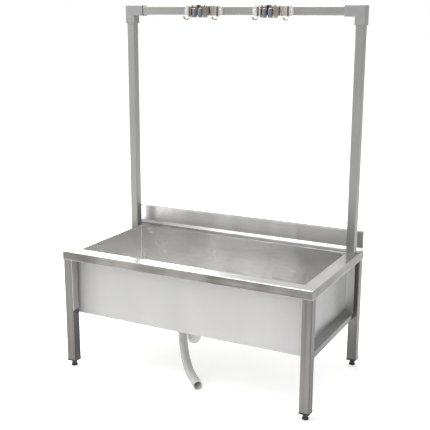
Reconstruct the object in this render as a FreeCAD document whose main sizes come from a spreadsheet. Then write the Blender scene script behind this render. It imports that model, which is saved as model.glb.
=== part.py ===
"""Floor-standing stainless mop sink with an overhead tool rail, as a parametric FreeCAD document.

Frame: +Z is up, +X is to the right of someone who stands in front of the sink and -Y points at them.
The origin is on the floor, under the centre of the deck. All sizes are millimetres.
"""
import math
import os

import FreeCAD
import Part
import Sketcher

NEAR = 0.01  # slack, in millimetres, when an edge is looked for by its place
STRAIGHT = 1e-6  # slack, in millimetres, when an edge is tested for its direction

DOC = FreeCAD.newDocument("mop_sink")
SHEET = DOC.addObject("Spreadsheet::Sheet", "Sizes")

# alias, value, what it measures
DRIVING_SIZES = [
    ("deck_width", 1100.0, "deck, left to right"),
    ("deck_depth", 600.0, "deck, front to rear"),
    ("deck_height", 510.0, "floor to deck top"),
    ("sheet_wall", 1.5, "stainless sheet"),
    ("rim_drop", 35.0, "height of the folded deck edge"),
    ("fold_radius", 2.0, "outer radius of a folded edge"),
    ("margin_front", 58.0, "deck edge to basin, front"),
    ("margin_side", 52.0, "deck edge to basin, each side"),
    ("margin_rear", 76.0, "deck edge to basin, rear"),
    ("basin_depth", 280.0, "deck top to the underside of the basin floor"),
    ("splash_height", 80.0, "backsplash above the deck"),
    ("splash_depth", 14.0, "thickness of the folded backsplash"),
    ("splash_cove", 10.0, "sloping foot of the backsplash"),
    ("leg_side", 40.0, "square leg tube"),
    ("leg_wall", 1.5, "leg tube wall"),
    ("leg_gap", 0.5, "leg to the inside of the deck edge"),
    ("tube_corner", 3.0, "outer corner radius of the tubes"),
    ("foot_height", 33.0, "floor to the lower end of a leg"),
    ("plug_flange", 8.0, "thickness of the end plug's flange"),
    ("plug_length", 26.0, "end plug inside the leg"),
    ("plug_clearance", 0.15, "end plug to the leg tube, each side"),
    ("foot_diameter", 26.0, "foot pad at the floor"),
    ("foot_neck", 20.0, "foot pad at its top"),
    ("foot_pad_height", 21.0, "foot pad height"),
    ("spindle_diameter", 10.0, "foot spindle"),
    ("spindle_length", 36.0, "foot spindle above its pad"),
    ("spindle_clearance", 0.05, "spindle to its bore, radial"),
    ("rail_slope", 20.0, "fall of the side rail's flange"),
    ("rail_level", 245.0, "deck top to the inner edge of the side rail"),
    ("flange_width", 34.0, "side rail and stile flanges"),
    ("rail_lip", 23.0, "down-turned lip of the side rail"),
    ("stile_gap", 16.5, "stile flange to the leg beside it"),
    ("stile_lip", 12.0, "lip of a stile, turned towards its leg"),
    ("post_side", 35.0, "square post and bar tube"),
    ("post_wall", 2.0, "post and bar tube wall"),
    ("post_inset", 12.0, "deck side edge to the post"),
    ("post_setback", 60.0, "deck rear edge to the post"),
    ("insert_length", 30.0, "threaded insert in the foot of a post"),
    ("bolt_diameter", 10.0, "post bolt"),
    ("bolt_washer", 22.0, "post bolt washer"),
    ("bolt_head_width", 19.0, "post bolt head across its corners"),
    ("bolt_head_height", 7.0, "post bolt head height"),
    ("rail_height", 1500.0, "floor to the top of the corner elbows"),
    ("elbow_wall", 4.0, "wall of a corner elbow"),
    ("elbow_across", 85.0, "elbow length along the bar"),
    ("elbow_down", 75.0, "elbow length down the post"),
    ("sleeve_clearance", 0.15, "tube to its sleeve, each side"),
    ("end_gap", 0.5, "tube end to its stop"),
    ("holder_spacing", 315.0, "between the two tool holders"),
    ("plate_length", 180.0, "holder plate length"),
    ("plate_height", 40.0, "holder plate height"),
    ("plate_wall", 2.0, "holder plate thickness"),
    ("plate_corner", 14.0, "corner radius of a holder plate"),
    ("screw_inset", 10.0, "holder plate end to its screw"),
    ("screw_diameter", 5.0, "holder and elbow screws"),
    ("screw_head", 9.5, "screw head diameter"),
    ("screw_head_height", 2.25, "screw head height"),
    ("screw_ease", 0.75, "eased edge of a screw head"),
    ("hook_inset", 24.0, "holder plate end to the hook"),
    ("hook_width", 7.0, "hook strap width"),
    ("hook_wall", 3.0, "hook strap thickness"),
    ("hook_shank", 32.0, "hook shank on the plate"),
    ("hook_bend", 18.0, "inner radius of the hook's bends"),
    ("hook_flat", 10.0, "straight run under the hook"),
    ("hook_tip", 8.0, "straight tip of the hook"),
    ("hook_rise", 50.0, "slope of the hook's tip, degrees"),
    ("rib_offset", 40.0, "holder plate centre to its pressed ribs"),
    ("rib_width", 6.0, "pressed rib width"),
    ("rib_height", 24.0, "pressed rib height"),
    ("rib_rise", 3.0, "pressed rib in front of the plate"),
    ("pin_spacing", 52.0, "between the two arm pins of a gripper"),
    ("pin_reach", 9.0, "holder plate front to the arm pins"),
    ("pin_diameter", 5.0, "arm pin"),
    ("pin_head", 8.0, "arm pin head diameter"),
    ("pin_head_height", 1.25, "arm pin head height"),
    ("pin_clearance", 0.05, "arm and roller bores, radial"),
    ("saddle_height", 34.0, "height of the gripper saddle"),
    ("saddle_depth", 15.0, "gripper saddle, plate to front edge"),
    ("saddle_wall", 1.5, "gripper saddle sheet"),
    ("arm_wall", 2.0, "gripper arm sheet"),
    ("arm_boss", 9.0, "diameter of the boss round the arm pin"),
    ("arm_play", 0.4, "gripper arm to saddle and roller, above and below"),
    ("roller_diameter", 20.0, "gripper roller"),
    ("roller_length", 32.0, "gripper roller height"),
    ("roller_gap", 5.0, "free gap between the rollers"),
    ("roller_reach", 53.0, "holder plate front to the roller axes"),
    ("roller_drop", 9.0, "roller centre below the bar's centre line"),
    ("roller_spindle", 6.0, "roller spindle"),
    ("spring_diameter", 8.0, "gripper spring coil"),
    ("spring_length", 22.0, "gripper spring coil length"),
    ("spring_wire", 1.2, "gripper spring wire"),
    ("spring_reach", 42.0, "holder plate front to the gripper spring"),
    ("drain_side", 90.0, "sink centre to the drain, to the left"),
    ("drain_bore", 40.0, "drain opening"),
    ("strainer_diameter", 86.0, "strainer flange"),
    ("strainer_rise", 2.5, "strainer flange above the basin floor"),
    ("strainer_hole", 4.4, "strainer hole"),
    ("strainer_inner", 6.7, "strainer centre to its inner ring of holes"),
    ("strainer_outer", 13.3, "strainer centre to its outer ring of holes"),
    ("gasket_wall", 2.5, "drain gasket"),
    ("tail_diameter", 50.0, "threaded drain tail"),
    ("tail_length", 25.0, "drain tail below the basin floor"),
    ("nut_height", 10.0, "drain lock nut"),
    ("nut_width", 74.0, "drain lock nut across its corners"),
    ("trap_diameter", 58.0, "trap body and cup"),
    ("trap_wall", 3.0, "wall of the trap mouldings"),
    ("trap_length", 52.0, "trap body height"),
    ("cup_depth", 68.0, "trap cup below the trap body's joint"),
    ("socket_height", 11.0, "trap body round the drain tail"),
    ("elbow_bore", 32.0, "bore of the trap's side outlet"),
    ("elbow_bend", 20.0, "bend radius of the outlet elbow"),
    ("outlet_reach", 52.0, "trap axis to the hose axis"),
    ("outlet_turn", 35.0, "turn of the trap about its upright axis, degrees"),
    ("outlet_tilt", 35.0, "tilt of the hose outlet out of the vertical, degrees"),
    ("hose_diameter", 38.0, "drain hose, outside"),
    ("hose_wall", 2.0, "drain hose wall"),
    ("hose_collar", 20.0, "height of the hose collar"),
]

for row, (alias, value, meaning) in enumerate(DRIVING_SIZES, start=1):
    SHEET.set(f"A{row}", meaning)
    SHEET.set(f"B{row}", str(value))
    SHEET.setAlias(f"B{row}", alias)
DOC.recompute()


def size(text):
    """Value of a size, or of an expression over sizes written with their bare names."""
    return float(SHEET.evalExpression(text))


def full(text):
    """The same expression written for another object: each alias gets the sheet's name."""
    words = []
    word = ""
    for letter in text + " ":
        if letter.isalnum() or letter == "_":
            word += letter
            continue
        words.append(f"Sizes.{word}" if word in ALIASES else word)
        words.append(letter)
        word = ""
    return "".join(words).strip()


ALIASES = {alias for alias, value, meaning in DRIVING_SIZES}

# Places that several pieces share, as expressions over the driving sizes.
SIDE_EDGE = "deck_width / 2"
REAR_EDGE = "deck_depth / 2"
DECK_UNDER = "(deck_height - sheet_wall)"
BASIN_SIDE = "(deck_width / 2 - margin_side)"
BASIN_FRONT = "(margin_front - deck_depth / 2)"
BASIN_REAR = "(deck_depth / 2 - margin_rear)"
BASIN_UNDER = "(deck_height - basin_depth)"
BASIN_WALL_FACE = f"({BASIN_SIDE} + sheet_wall)"
LEG_OUT_X = "(deck_width / 2 - sheet_wall - leg_gap)"
LEG_OUT_Y = "(deck_depth / 2 - sheet_wall - leg_gap)"
LEG_IN_Y = f"({LEG_OUT_Y} - leg_side)"
POST_X = "(deck_width / 2 - post_inset - post_side / 2)"
POST_Y = "(deck_depth / 2 - post_setback - post_side / 2)"
BAR_Z = "(rail_height - elbow_wall - post_side / 2)"
BAR_FRONT = f"({POST_Y} - post_side / 2)"
BAR_HALF = f"({POST_X} - post_side / 2 - end_gap)"
DRAIN_Y = "((margin_front - margin_rear) / 2)"
TAIL_END = f"({BASIN_UNDER} - tail_length)"
OUTLET_Z = f"({TAIL_END} - elbow_bore / 2 - 2 * trap_wall)"
TRAP_JOINT = f"({TAIL_END} - trap_length)"

# Elbow screws, from the crossing of the bar's and the post's centre lines.
SCREW_ACROSS = "(post_side / 2 + elbow_wall - elbow_across + 3 * screw_diameter)"
SCREW_DOWN = "(post_side / 2 + elbow_wall - elbow_down + 3 * screw_diameter)"

SCREW_OUT = "(plate_length / 2 - screw_inset)"
HOOK_OUT = "(plate_length / 2 - hook_inset)"
ROLLER_X = "((roller_gap + roller_diameter) / 2)"

NODES = []


def piece(label, shape_object):
    """Give a finished piece its node name."""
    shape_object.Label = label
    NODES.append(shape_object)
    return shape_object


def place(shape_object, x="0", y="0", z="0"):
    """Bind an object's position to expressions."""
    for axis, text in (("x", x), ("y", y), ("z", z)):
        if text != "0":
            shape_object.setExpression(f"Placement.Base.{axis}", full(text))
    return shape_object


def place_turned(shape_object, x, y, z, yaw="0", roll="0"):
    """Bind an object's position, its turn about Z and, before that, its turn about X."""
    where = f"vector({full(x)}; {full(y)}; {full(z)})"
    turn = f"rotation({full(yaw)}; 0; {full(roll)})"
    shape_object.setExpression("Placement", f"placement({where}; {turn})")
    return shape_object


def new_body(name):
    """An empty PartDesign body."""
    return DOC.addObject("PartDesign::Body", name)


def origin_feature(body, role):
    """One of a body's own origin planes or axes."""
    for feature in body.Origin.OriginFeatures:
        if feature.Role == role:
            return feature
    raise ValueError(role)


def new_sketch(body, role, name, lift="0"):
    """A sketch on one of the body's origin planes, lifted along the plane's normal."""
    sketch = body.newObject("Sketcher::SketchObject", name)
    sketch.AttachmentSupport = [(origin_feature(body, role), "")]
    sketch.MapMode = "FlatFace"
    if lift != "0":
        sketch.setExpression("AttachmentOffset.Base.z", full(lift))
    return sketch


def pin_point(sketch, geometry, end, x, y):
    """Tie one point of a sketch to expressions for its two coordinates."""
    for kind, text in (("DistanceX", x), ("DistanceY", y)):
        index = sketch.addConstraint(Sketcher.Constraint(kind, geometry, end, size(text)))
        sketch.setExpression(f"Constraints[{index}]", full(text))


def draw_polygon(sketch, points):
    """A closed outline of straight lines through points given as expressions."""
    vectors = [FreeCAD.Vector(size(x), size(y), 0) for x, y in points]
    first = sketch.GeometryCount
    count = len(points)
    for index in range(count):
        sketch.addGeometry(Part.LineSegment(vectors[index], vectors[(index + 1) % count]), False)
    for index in range(count):
        following = first + (index + 1) % count
        sketch.addConstraint(Sketcher.Constraint("Coincident", first + index, 2, following, 1))
    for index, (x, y) in enumerate(points):
        pin_point(sketch, first + index, 1, x, y)


def draw_rectangle(sketch, left, right, low, high):
    """A closed rectangle between four expressions."""
    draw_polygon(sketch, [(left, low), (right, low), (right, high), (left, high)])


def draw_circle(sketch, x, y, radius):
    """A circle whose centre and radius are expressions."""
    centre = FreeCAD.Vector(size(x), size(y), 0)
    index = sketch.addGeometry(Part.Circle(centre, FreeCAD.Vector(0, 0, 1), size(radius)), False)
    pin_point(sketch, index, 3, x, y)
    constraint = sketch.addConstraint(Sketcher.Constraint("Radius", index, size(radius)))
    sketch.setExpression(f"Constraints[{constraint}]", full(radius))


def pad(body, sketch, length, midplane=False, backwards=False):
    """Pad a sketch by an expression."""
    feature = body.newObject("PartDesign::Pad", f"{sketch.Name}_pad")
    feature.Profile = sketch
    feature.setExpression("Length", full(length))
    feature.Midplane = midplane
    feature.Reversed = backwards
    return feature


def pocket(body, sketch, length, midplane=False, backwards=False):
    """Pocket a sketch by an expression, against the plane's normal unless it is turned round."""
    feature = body.newObject("PartDesign::Pocket", f"{sketch.Name}_pocket")
    feature.Profile = sketch
    feature.setExpression("Length", full(length))
    feature.Midplane = midplane
    feature.Reversed = backwards
    return feature


def fillet(body, base, radius, wanted):
    """Round the edges of a feature for which wanted(edge) is true."""
    DOC.recompute()
    names = []
    for index, edge in enumerate(base.Shape.Edges, start=1):
        if wanted(edge):
            names.append(f"Edge{index}")
    if not names:
        raise ValueError(f"no edges to round on {base.Name}")
    feature = body.newObject("PartDesign::Fillet", f"{base.Name}_fillet")
    feature.Base = (base, names)
    feature.setExpression("Radius", full(radius))
    return feature


def turned(name, outline):
    """A body turned about its own Z axis from an outline of (radius, height) expressions."""
    body = new_body(name)
    sketch = new_sketch(body, "XZ_Plane", f"{name}_outline")
    draw_polygon(sketch, outline)
    feature = body.newObject("PartDesign::Revolution", f"{name}_turn")
    feature.Profile = sketch
    feature.ReferenceAxis = (sketch, ["V_Axis"])
    feature.Angle = 360
    return body


def is_along(edge, axis):
    """True for a straight edge along X (0), Y (1) or Z (2)."""
    ends = [vertex.Point for vertex in edge.Vertexes]
    if len(ends) != 2:
        return False
    return abs(abs((ends[1] - ends[0])[axis]) - edge.Length) < STRAIGHT


def box(name, corner, extent):
    """A Part::Box from expressions for its lower corner and its three sides."""
    solid = DOC.addObject("Part::Box", name)
    place(solid, *corner)
    for side, text in zip(("Length", "Width", "Height"), extent):
        solid.setExpression(side, full(text))
    return solid


def cylinder(name, centre, radius, height):
    """An upright Part::Cylinder from expressions."""
    solid = DOC.addObject("Part::Cylinder", name)
    place(solid, *centre)
    solid.setExpression("Radius", full(radius))
    solid.setExpression("Height", full(height))
    return solid


def fuse(name, parts):
    """One solid from several that meet."""
    result = DOC.addObject("Part::MultiFuse", name)
    result.Shapes = parts
    result.Refine = True
    return result


def cut(name, base, tool):
    """One object less another."""
    result = DOC.addObject("Part::Cut", name)
    result.Base = base
    result.Tool = tool
    return result


def group(name, parts):
    """Identical loose solids that share a node."""
    result = DOC.addObject("Part::Compound", name)
    result.Links = parts
    return result


def square_tube(name, side, wall, length, role="XY_Plane", midplane=False):
    """A square tube with rounded outer corners, along the normal of the given plane."""
    body = new_body(name)
    sketch = new_sketch(body, role, f"{name}_section")
    draw_rectangle(sketch, f"-{side} / 2", f"{side} / 2", f"-{side} / 2", f"{side} / 2")
    inner = f"({side} / 2 - {wall})"
    draw_rectangle(sketch, f"-{inner}", inner, f"-{inner}", inner)
    run = pad(body, sketch, length, midplane)
    axis = {"XY_Plane": 2, "YZ_Plane": 0}[role]
    reach = size(side) / 2 - NEAR

    def outer_corner(edge):
        spot = edge.CenterOfMass
        across = [abs(spot[other]) for other in range(3) if other != axis]
        return is_along(edge, axis) and min(across) > reach

    fillet(body, run, "tube_corner", outer_corner)
    return body


def make_deck():
    """The deck: a pan of folded sheet, open over the basin, with a hole under each post."""
    body = new_body("deck_body")
    plan = new_sketch(body, "XY_Plane", "deck_plan", "deck_height - rim_drop")
    draw_rectangle(plan, f"-{SIDE_EDGE}", SIDE_EDGE, f"-{REAR_EDGE}", REAR_EDGE)
    slab = pad(body, plan, "rim_drop")
    hollow = new_sketch(body, "XY_Plane", "deck_hollow", "deck_height - rim_drop")
    inner_x = f"({SIDE_EDGE} - sheet_wall)"
    inner_y = f"({REAR_EDGE} - sheet_wall)"
    draw_rectangle(hollow, f"-{inner_x}", inner_x, f"-{inner_y}", inner_y)
    pocket(body, hollow, "rim_drop - sheet_wall", backwards=True)
    opening = new_sketch(body, "XY_Plane", "deck_opening", "deck_height")
    draw_rectangle(opening, f"-{BASIN_SIDE}", BASIN_SIDE, BASIN_FRONT, BASIN_REAR)
    through = pocket(body, opening, "2 * sheet_wall")
    holes = new_sketch(body, "XY_Plane", "deck_bolt_holes", "deck_height")
    for sign in ("-", ""):
        draw_circle(holes, f"{sign}{POST_X}", POST_Y, "bolt_diameter / 2 + end_gap")
    drilled = pocket(body, holes, "2 * sheet_wall")
    top = size("deck_height") - NEAR
    edge_x = size(SIDE_EDGE) - NEAR
    edge_y = size(REAR_EDGE) - NEAR

    def outside_fold(edge):
        spot = edge.CenterOfMass
        if is_along(edge, 2):
            return abs(spot.x) > edge_x and abs(spot.y) > edge_y
        return spot.z > top and (abs(spot.x) > edge_x or abs(spot.y) > edge_y)

    fillet(body, drilled, "fold_radius", outside_fold)
    piece("deck", body)


def make_basin():
    """The basin: a floor and four walls of flat sheet, welded at their edges and under the deck.

    The front wall is also the sink's apron, so it runs on behind the legs to the lips of the stiles.
    """
    wall_height = f"{DECK_UNDER} - {BASIN_UNDER}"
    apron = f"({BASIN_WALL_FACE} + flange_width - sheet_wall - end_gap)"
    for name, half, y in (
        ("front", apron, f"{BASIN_FRONT} - sheet_wall"),
        ("rear", BASIN_WALL_FACE, BASIN_REAR),
    ):
        wall = box(f"{name}_wall", (f"-{half}", y, BASIN_UNDER), (f"2 * {half}", "sheet_wall", wall_height))
        piece(f"basin_{name}", wall)
    inside = f"({BASIN_REAR} - {BASIN_FRONT})"
    for name, x in (("left", f"-{BASIN_WALL_FACE}"), ("right", BASIN_SIDE)):
        wall = box(f"{name}_wall", (x, BASIN_FRONT, BASIN_UNDER), ("sheet_wall", inside, wall_height))
        piece(f"basin_{name}", wall)
    plate = box(
        "floor_plate",
        (f"-{BASIN_SIDE}", BASIN_FRONT, BASIN_UNDER),
        (f"2 * {BASIN_SIDE}", inside, "sheet_wall"),
    )
    drain = cylinder(
        "basin_drain",
        ("-drain_side", DRAIN_Y, f"{BASIN_UNDER} - sheet_wall"),
        "tail_diameter / 2 + plug_clearance",
        "3 * sheet_wall",
    )
    piece("basin_floor", cut("basin_floor_cut", plate, drain))


def make_backsplash():
    """The backsplash: a hollow folded upstand along the rear edge, on a sloping foot."""
    body = new_body("backsplash_body")
    front = f"({REAR_EDGE} - splash_depth)"
    top = "(deck_height + splash_height)"
    outline = new_sketch(body, "YZ_Plane", "splash_outline")
    draw_polygon(
        outline,
        [
            (f"{front} - splash_cove", "deck_height"),
            (front, "deck_height + splash_cove"),
            (front, top),
            (REAR_EDGE, top),
            (REAR_EDGE, "deck_height"),
        ],
    )
    upstand = pad(body, outline, "deck_width", midplane=True)
    hollow = new_sketch(body, "YZ_Plane", "splash_hollow")
    draw_rectangle(
        hollow,
        f"{front} + sheet_wall",
        f"{REAR_EDGE} - sheet_wall",
        "deck_height - sheet_wall",
        f"{top} - sheet_wall",
    )
    hollowed = pocket(body, hollow, "deck_width - 2 * sheet_wall", midplane=True)
    high = size(top) - NEAR
    front_y = size(front) + NEAR

    def top_front(edge):
        spot = edge.CenterOfMass
        return is_along(edge, 0) and spot.z > high and spot.y < front_y

    fillet(body, hollowed, "sheet_wall", top_front)
    DOC.recompute()
    if upstand.Shape.Volume <= body.Shape.Volume:
        raise ValueError("the backsplash is not hollow")
    piece("backsplash", body)


def make_side_panels():
    """A recessed panel at each side: two stiles and a sloping rail from the front one to the rear leg."""
    body = new_body("side_rail_body")
    edge_x = f"({BASIN_WALL_FACE} + flange_width)"
    inner_z = "(deck_height - rail_level)"
    outer_z = f"({inner_z} - rail_slope)"
    stile_y = f"({LEG_IN_Y} - stile_gap)"
    section = new_sketch(body, "XZ_Plane", "side_rail_section", stile_y)
    draw_polygon(
        section,
        [
            (BASIN_WALL_FACE, inner_z),
            (edge_x, outer_z),
            (edge_x, f"{outer_z} - rail_lip"),
            (f"{edge_x} - sheet_wall", f"{outer_z} - rail_lip"),
            (f"{edge_x} - sheet_wall", f"{outer_z} - sheet_wall"),
            (BASIN_WALL_FACE, f"{inner_z} - sheet_wall"),
        ],
    )
    pad(body, section, f"{stile_y} + {LEG_IN_Y}", backwards=True)
    low_z = f"({outer_z} - sheet_wall)"
    parts = [body]
    parts.append(
        box(
            "side_wall",
            (BASIN_WALL_FACE, f"-{stile_y}", f"{inner_z} - sheet_wall"),
            ("sheet_wall", f"2 * {stile_y}", f"{DECK_UNDER} - {inner_z} + sheet_wall"),
        )
    )
    for name, face_y, lip_y in (
        ("front", f"-{stile_y}", f"-{stile_y} - stile_lip"),
        ("rear", f"{stile_y} - sheet_wall", stile_y),
    ):
        flange = box(
            f"{name}_stile",
            (BASIN_WALL_FACE, face_y, low_z),
            ("flange_width", "sheet_wall", f"{DECK_UNDER} - {low_z}"),
        )
        lip = box(
            f"{name}_stile_lip",
            (f"{edge_x} - sheet_wall", lip_y, low_z),
            ("sheet_wall", "stile_lip", f"{DECK_UNDER} - {low_z}"),
        )
        parts += [flange, lip]
    right = piece("side_panel_right", fuse("side_panel_right_fuse", parts))
    left = DOC.addObject("Part::Mirroring", "side_panel_left_mirror")
    left.Source = right
    left.Normal = FreeCAD.Vector(1, 0, 0)
    piece("side_panel_left", left)


def make_legs():
    """Four square legs, each with an end plug and a screw foot."""
    for corner, sign_x, sign_y in (
        ("front_left", "-", "-"),
        ("front_right", "", "-"),
        ("rear_left", "-", ""),
        ("rear_right", "", ""),
    ):
        x = f"{sign_x}({LEG_OUT_X} - leg_side / 2)"
        y = f"{sign_y}({LEG_OUT_Y} - leg_side / 2)"
        length = f"{DECK_UNDER} - foot_height"
        leg = square_tube(f"leg_{corner}_body", "leg_side", "leg_wall", length)
        piece(f"leg_{corner}", place(leg, x, y, "foot_height"))
        piece(f"leg_plug_{corner}", place(make_plug(corner), x, y, "foot_height"))
        piece(f"foot_{corner}", place(make_foot(corner), x, y))


def make_plug(corner):
    """A square end plug: a flange under the leg and a bored block inside it."""
    body = new_body(f"plug_{corner}_body")
    flange = new_sketch(body, "XY_Plane", f"plug_{corner}_flange")
    draw_rectangle(flange, "-leg_side / 2", "leg_side / 2", "-leg_side / 2", "leg_side / 2")
    pad(body, flange, "plug_flange", backwards=True)
    block = new_sketch(body, "XY_Plane", f"plug_{corner}_block")
    half = "(leg_side / 2 - leg_wall - plug_clearance)"
    draw_rectangle(block, f"-{half}", half, f"-{half}", half)
    solid = pad(body, block, "plug_length")
    bore = new_sketch(body, "XY_Plane", f"plug_{corner}_bore", "plug_length")
    draw_circle(bore, "0", "0", "spindle_diameter / 2 + spindle_clearance")
    bored = pocket(body, bore, "plug_length + plug_flange")
    DOC.recompute()
    if bored.Shape.Volume >= solid.Shape.Volume:
        raise ValueError("the plug is not bored")
    return body


def make_foot(corner):
    """A screw foot: a tapered pad on a spindle that runs up into the end plug."""
    pad_radius = "foot_diameter / 2"
    return turned(
        f"foot_{corner}_body",
        [
            ("0", "0"),
            (f"{pad_radius} - fold_radius", "0"),
            (pad_radius, "fold_radius"),
            (pad_radius, "foot_pad_height / 4"),
            ("foot_neck / 2", "foot_pad_height"),
            ("spindle_diameter / 2", "foot_pad_height"),
            ("spindle_diameter / 2", "foot_pad_height + spindle_length"),
            ("0", "foot_pad_height + spindle_length"),
        ],
    )


def make_arch():
    """Two posts, the bar between them, the corner elbows and everything that fixes them."""
    post_top = f"({BAR_Z} - post_side / 2 - end_gap)"
    inserts = []
    bolts = []
    for side, sign in (("left", "-"), ("right", "")):
        length = f"{post_top} - deck_height"
        post = square_tube(f"post_{side}_body", "post_side", "post_wall", length)
        piece(f"post_{side}", place(post, f"{sign}{POST_X}", POST_Y, "deck_height"))
        piece(f"corner_elbow_{side}", make_elbow(side, sign))
        inserts.append(make_insert(side, sign))
        bolts.append(make_post_bolt(side, sign))
    piece("post_inserts", group("post_inserts_group", inserts))
    piece("post_bolts", group("post_bolts_group", bolts))
    length = f"2 * {BAR_HALF}"
    bar = square_tube("bar_body", "post_side", "post_wall", length, "YZ_Plane", midplane=True)
    drillings = new_sketch(bar, "XZ_Plane", "bar_screw_holes", "post_side / 2")
    for holder in ("-", ""):
        for end in ("-", ""):
            x = f"{holder}holder_spacing / 2 {end or '+'} {SCREW_OUT}"
            draw_circle(drillings, x, "0", "screw_diameter / 2 + spindle_clearance")
    pocket(bar, drillings, "2 * post_wall")
    piece("top_bar", place(bar, "0", POST_Y, BAR_Z))
    make_elbow_screws()


def make_elbow(side, sign):
    """A corner elbow: a square sleeve for the post, one for the bar, and a core over the post."""
    body = new_body(f"elbow_{side}_body")
    outline = new_sketch(body, "XZ_Plane", f"elbow_{side}_outline")
    outer = "(post_side / 2 + elbow_wall)"
    inner = "(post_side / 2 + sleeve_clearance)"
    low_end = f"{outer} - elbow_down"
    draw_polygon(
        outline,
        [
            (f"{sign}{outer}", outer),
            (f"{sign}({outer} - elbow_across)", outer),
            (f"{sign}({outer} - elbow_across)", f"-{outer}"),
            (f"{sign}(-{outer})", f"-{outer}"),
            (f"{sign}(-{outer})", low_end),
            (f"{sign}{outer}", low_end),
        ],
    )
    solid = pad(body, outline, f"2 * {outer}", midplane=True)
    edges = fillet(body, solid, "fold_radius", lambda edge: not is_along(edge, 1))
    core = "(post_side / 2 - post_wall)"
    sockets = (
        ("down", inner, "elbow_down - elbow_wall - post_side"),
        ("core", core, "elbow_down - elbow_wall"),
    )
    for name, half, depth in sockets:
        sketch = new_sketch(body, "XY_Plane", f"elbow_{side}_{name}", low_end)
        draw_rectangle(sketch, f"-{half}", half, f"-{half}", half)
        pocket(body, sketch, depth, backwards=True)
    across = new_sketch(body, "YZ_Plane", f"elbow_{side}_across", f"{sign}({outer} - elbow_across)")
    draw_rectangle(across, f"-{inner}", inner, f"-{inner}", inner)
    pocket(body, across, "elbow_across - elbow_wall - post_side", backwards=(sign == ""))
    holes = new_sketch(body, "XZ_Plane", f"elbow_{side}_holes", f"-{outer}")
    hole_radius = "screw_diameter / 2 + spindle_clearance"
    draw_circle(holes, f"{sign}{SCREW_ACROSS}", "0", hole_radius)
    draw_circle(holes, "0", SCREW_DOWN, hole_radius)
    last = pocket(body, holes, "elbow_wall", backwards=True)
    DOC.recompute()
    if last.Shape.Volume >= edges.Shape.Volume - size(f"({inner}) ^ 2 * elbow_down"):
        raise ValueError("the elbow's sockets are not cut")
    return place(body, f"{sign}{POST_X}", POST_Y, BAR_Z)


def make_insert(side, sign):
    """The threaded insert in the foot of a post."""
    half = "(post_side / 2 - post_wall - plug_clearance)"
    block = box(
        f"insert_{side}_block",
        (f"{sign}{POST_X} - {half}", f"{POST_Y} - {half}", "deck_height"),
        (f"2 * {half}", f"2 * {half}", "insert_length"),
    )
    bore = cylinder(
        f"insert_{side}_bore",
        (f"{sign}{POST_X}", POST_Y, "deck_height - sheet_wall"),
        "bolt_diameter / 2 + spindle_clearance",
        "insert_length + 2 * sheet_wall",
    )
    return cut(f"insert_{side}", block, bore)


def make_post_bolt(side, sign):
    """The bolt that comes up through the deck into a post's insert, with its washer."""
    centre = (f"{sign}{POST_X}", POST_Y)
    washer = cylinder(
        f"bolt_{side}_washer",
        (*centre, f"{DECK_UNDER} - sheet_wall"),
        "bolt_washer / 2",
        "sheet_wall",
    )
    shank = cylinder(
        f"bolt_{side}_shank",
        (*centre, f"{DECK_UNDER} - sheet_wall"),
        "bolt_diameter / 2",
        "insert_length",
    )
    head = DOC.addObject("Part::Prism", f"bolt_{side}_head")
    head.Polygon = 6
    head.setExpression("Circumradius", full("bolt_head_width / 2"))
    head.setExpression("Height", full("bolt_head_height"))
    place(head, *centre, f"{DECK_UNDER} - sheet_wall - bolt_head_height")
    return fuse(f"bolt_{side}", [washer, shank, head])


def make_elbow_screws():
    """Four pan-head screws in the rear faces of the elbows, which press on the tubes."""
    rear = f"({POST_Y} + post_side / 2 + elbow_wall)"
    across = f"({POST_X} + {SCREW_ACROSS})"
    down = f"({BAR_Z} + {SCREW_DOWN})"
    screws = []
    for side, sign in (("left", "-"), ("right", "")):
        for spot, x, z in (("bar", f"{sign}{across}", BAR_Z), ("post", f"{sign}{POST_X}", down)):
            name = f"elbow_screw_{side}_{spot}"
            screws.append(make_screw(name, x, rear, z, "elbow_wall", rearward=True))
    piece("elbow_screws", group("elbow_screws_group", screws))


def make_screw(name, x, y, z, shank, rearward=False):
    """A low pan-head screw whose head seats on an upright face at y, outside that face."""
    body = turned(
        f"{name}_body",
        [
            ("0", f"-({shank})"),
            ("screw_diameter / 2", f"-({shank})"),
            ("screw_diameter / 2", "0"),
            ("screw_head / 2", "0"),
            ("screw_head / 2 - screw_ease", "screw_head_height - screw_ease"),
            ("screw_diameter / 2", "screw_head_height"),
            ("0", "screw_head_height"),
        ],
    )
    turn = FreeCAD.Rotation(FreeCAD.Vector(1, 0, 0), -90 if rearward else 90)
    body.Placement = FreeCAD.Placement(FreeCAD.Vector(), turn)
    return place(body, x, y, z)


def ring_sector(name, centre, inner, thickness, width, start, turn_axis, angle):
    """A bent stretch of strap: a sector of a ring whose axis lies along X.

    The sector begins in the direction start and turns about turn_axis by the given angle.
    """
    across = turn_axis.cross(start)
    rotation = FreeCAD.Rotation(start, across, turn_axis, "ZXY")
    x, y, z = centre
    low_x = f"{x} - ({width}) / 2" if turn_axis.x > 0 else f"{x} + ({width}) / 2"
    shells = []
    whole = ("outer", f"{inner} + {thickness}", angle)
    hollow = ("inner", inner, "360")
    for shell, radius, sweep in (whole, hollow):
        solid = cylinder(f"{name}_{shell}", ("0", "0", "0"), radius, width)
        solid.setExpression("Angle", full(sweep))
        solid.Placement = FreeCAD.Placement(FreeCAD.Vector(), rotation)
        shells.append(place(solid, low_x, y, z))
    return cut(name, *shells)


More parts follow.
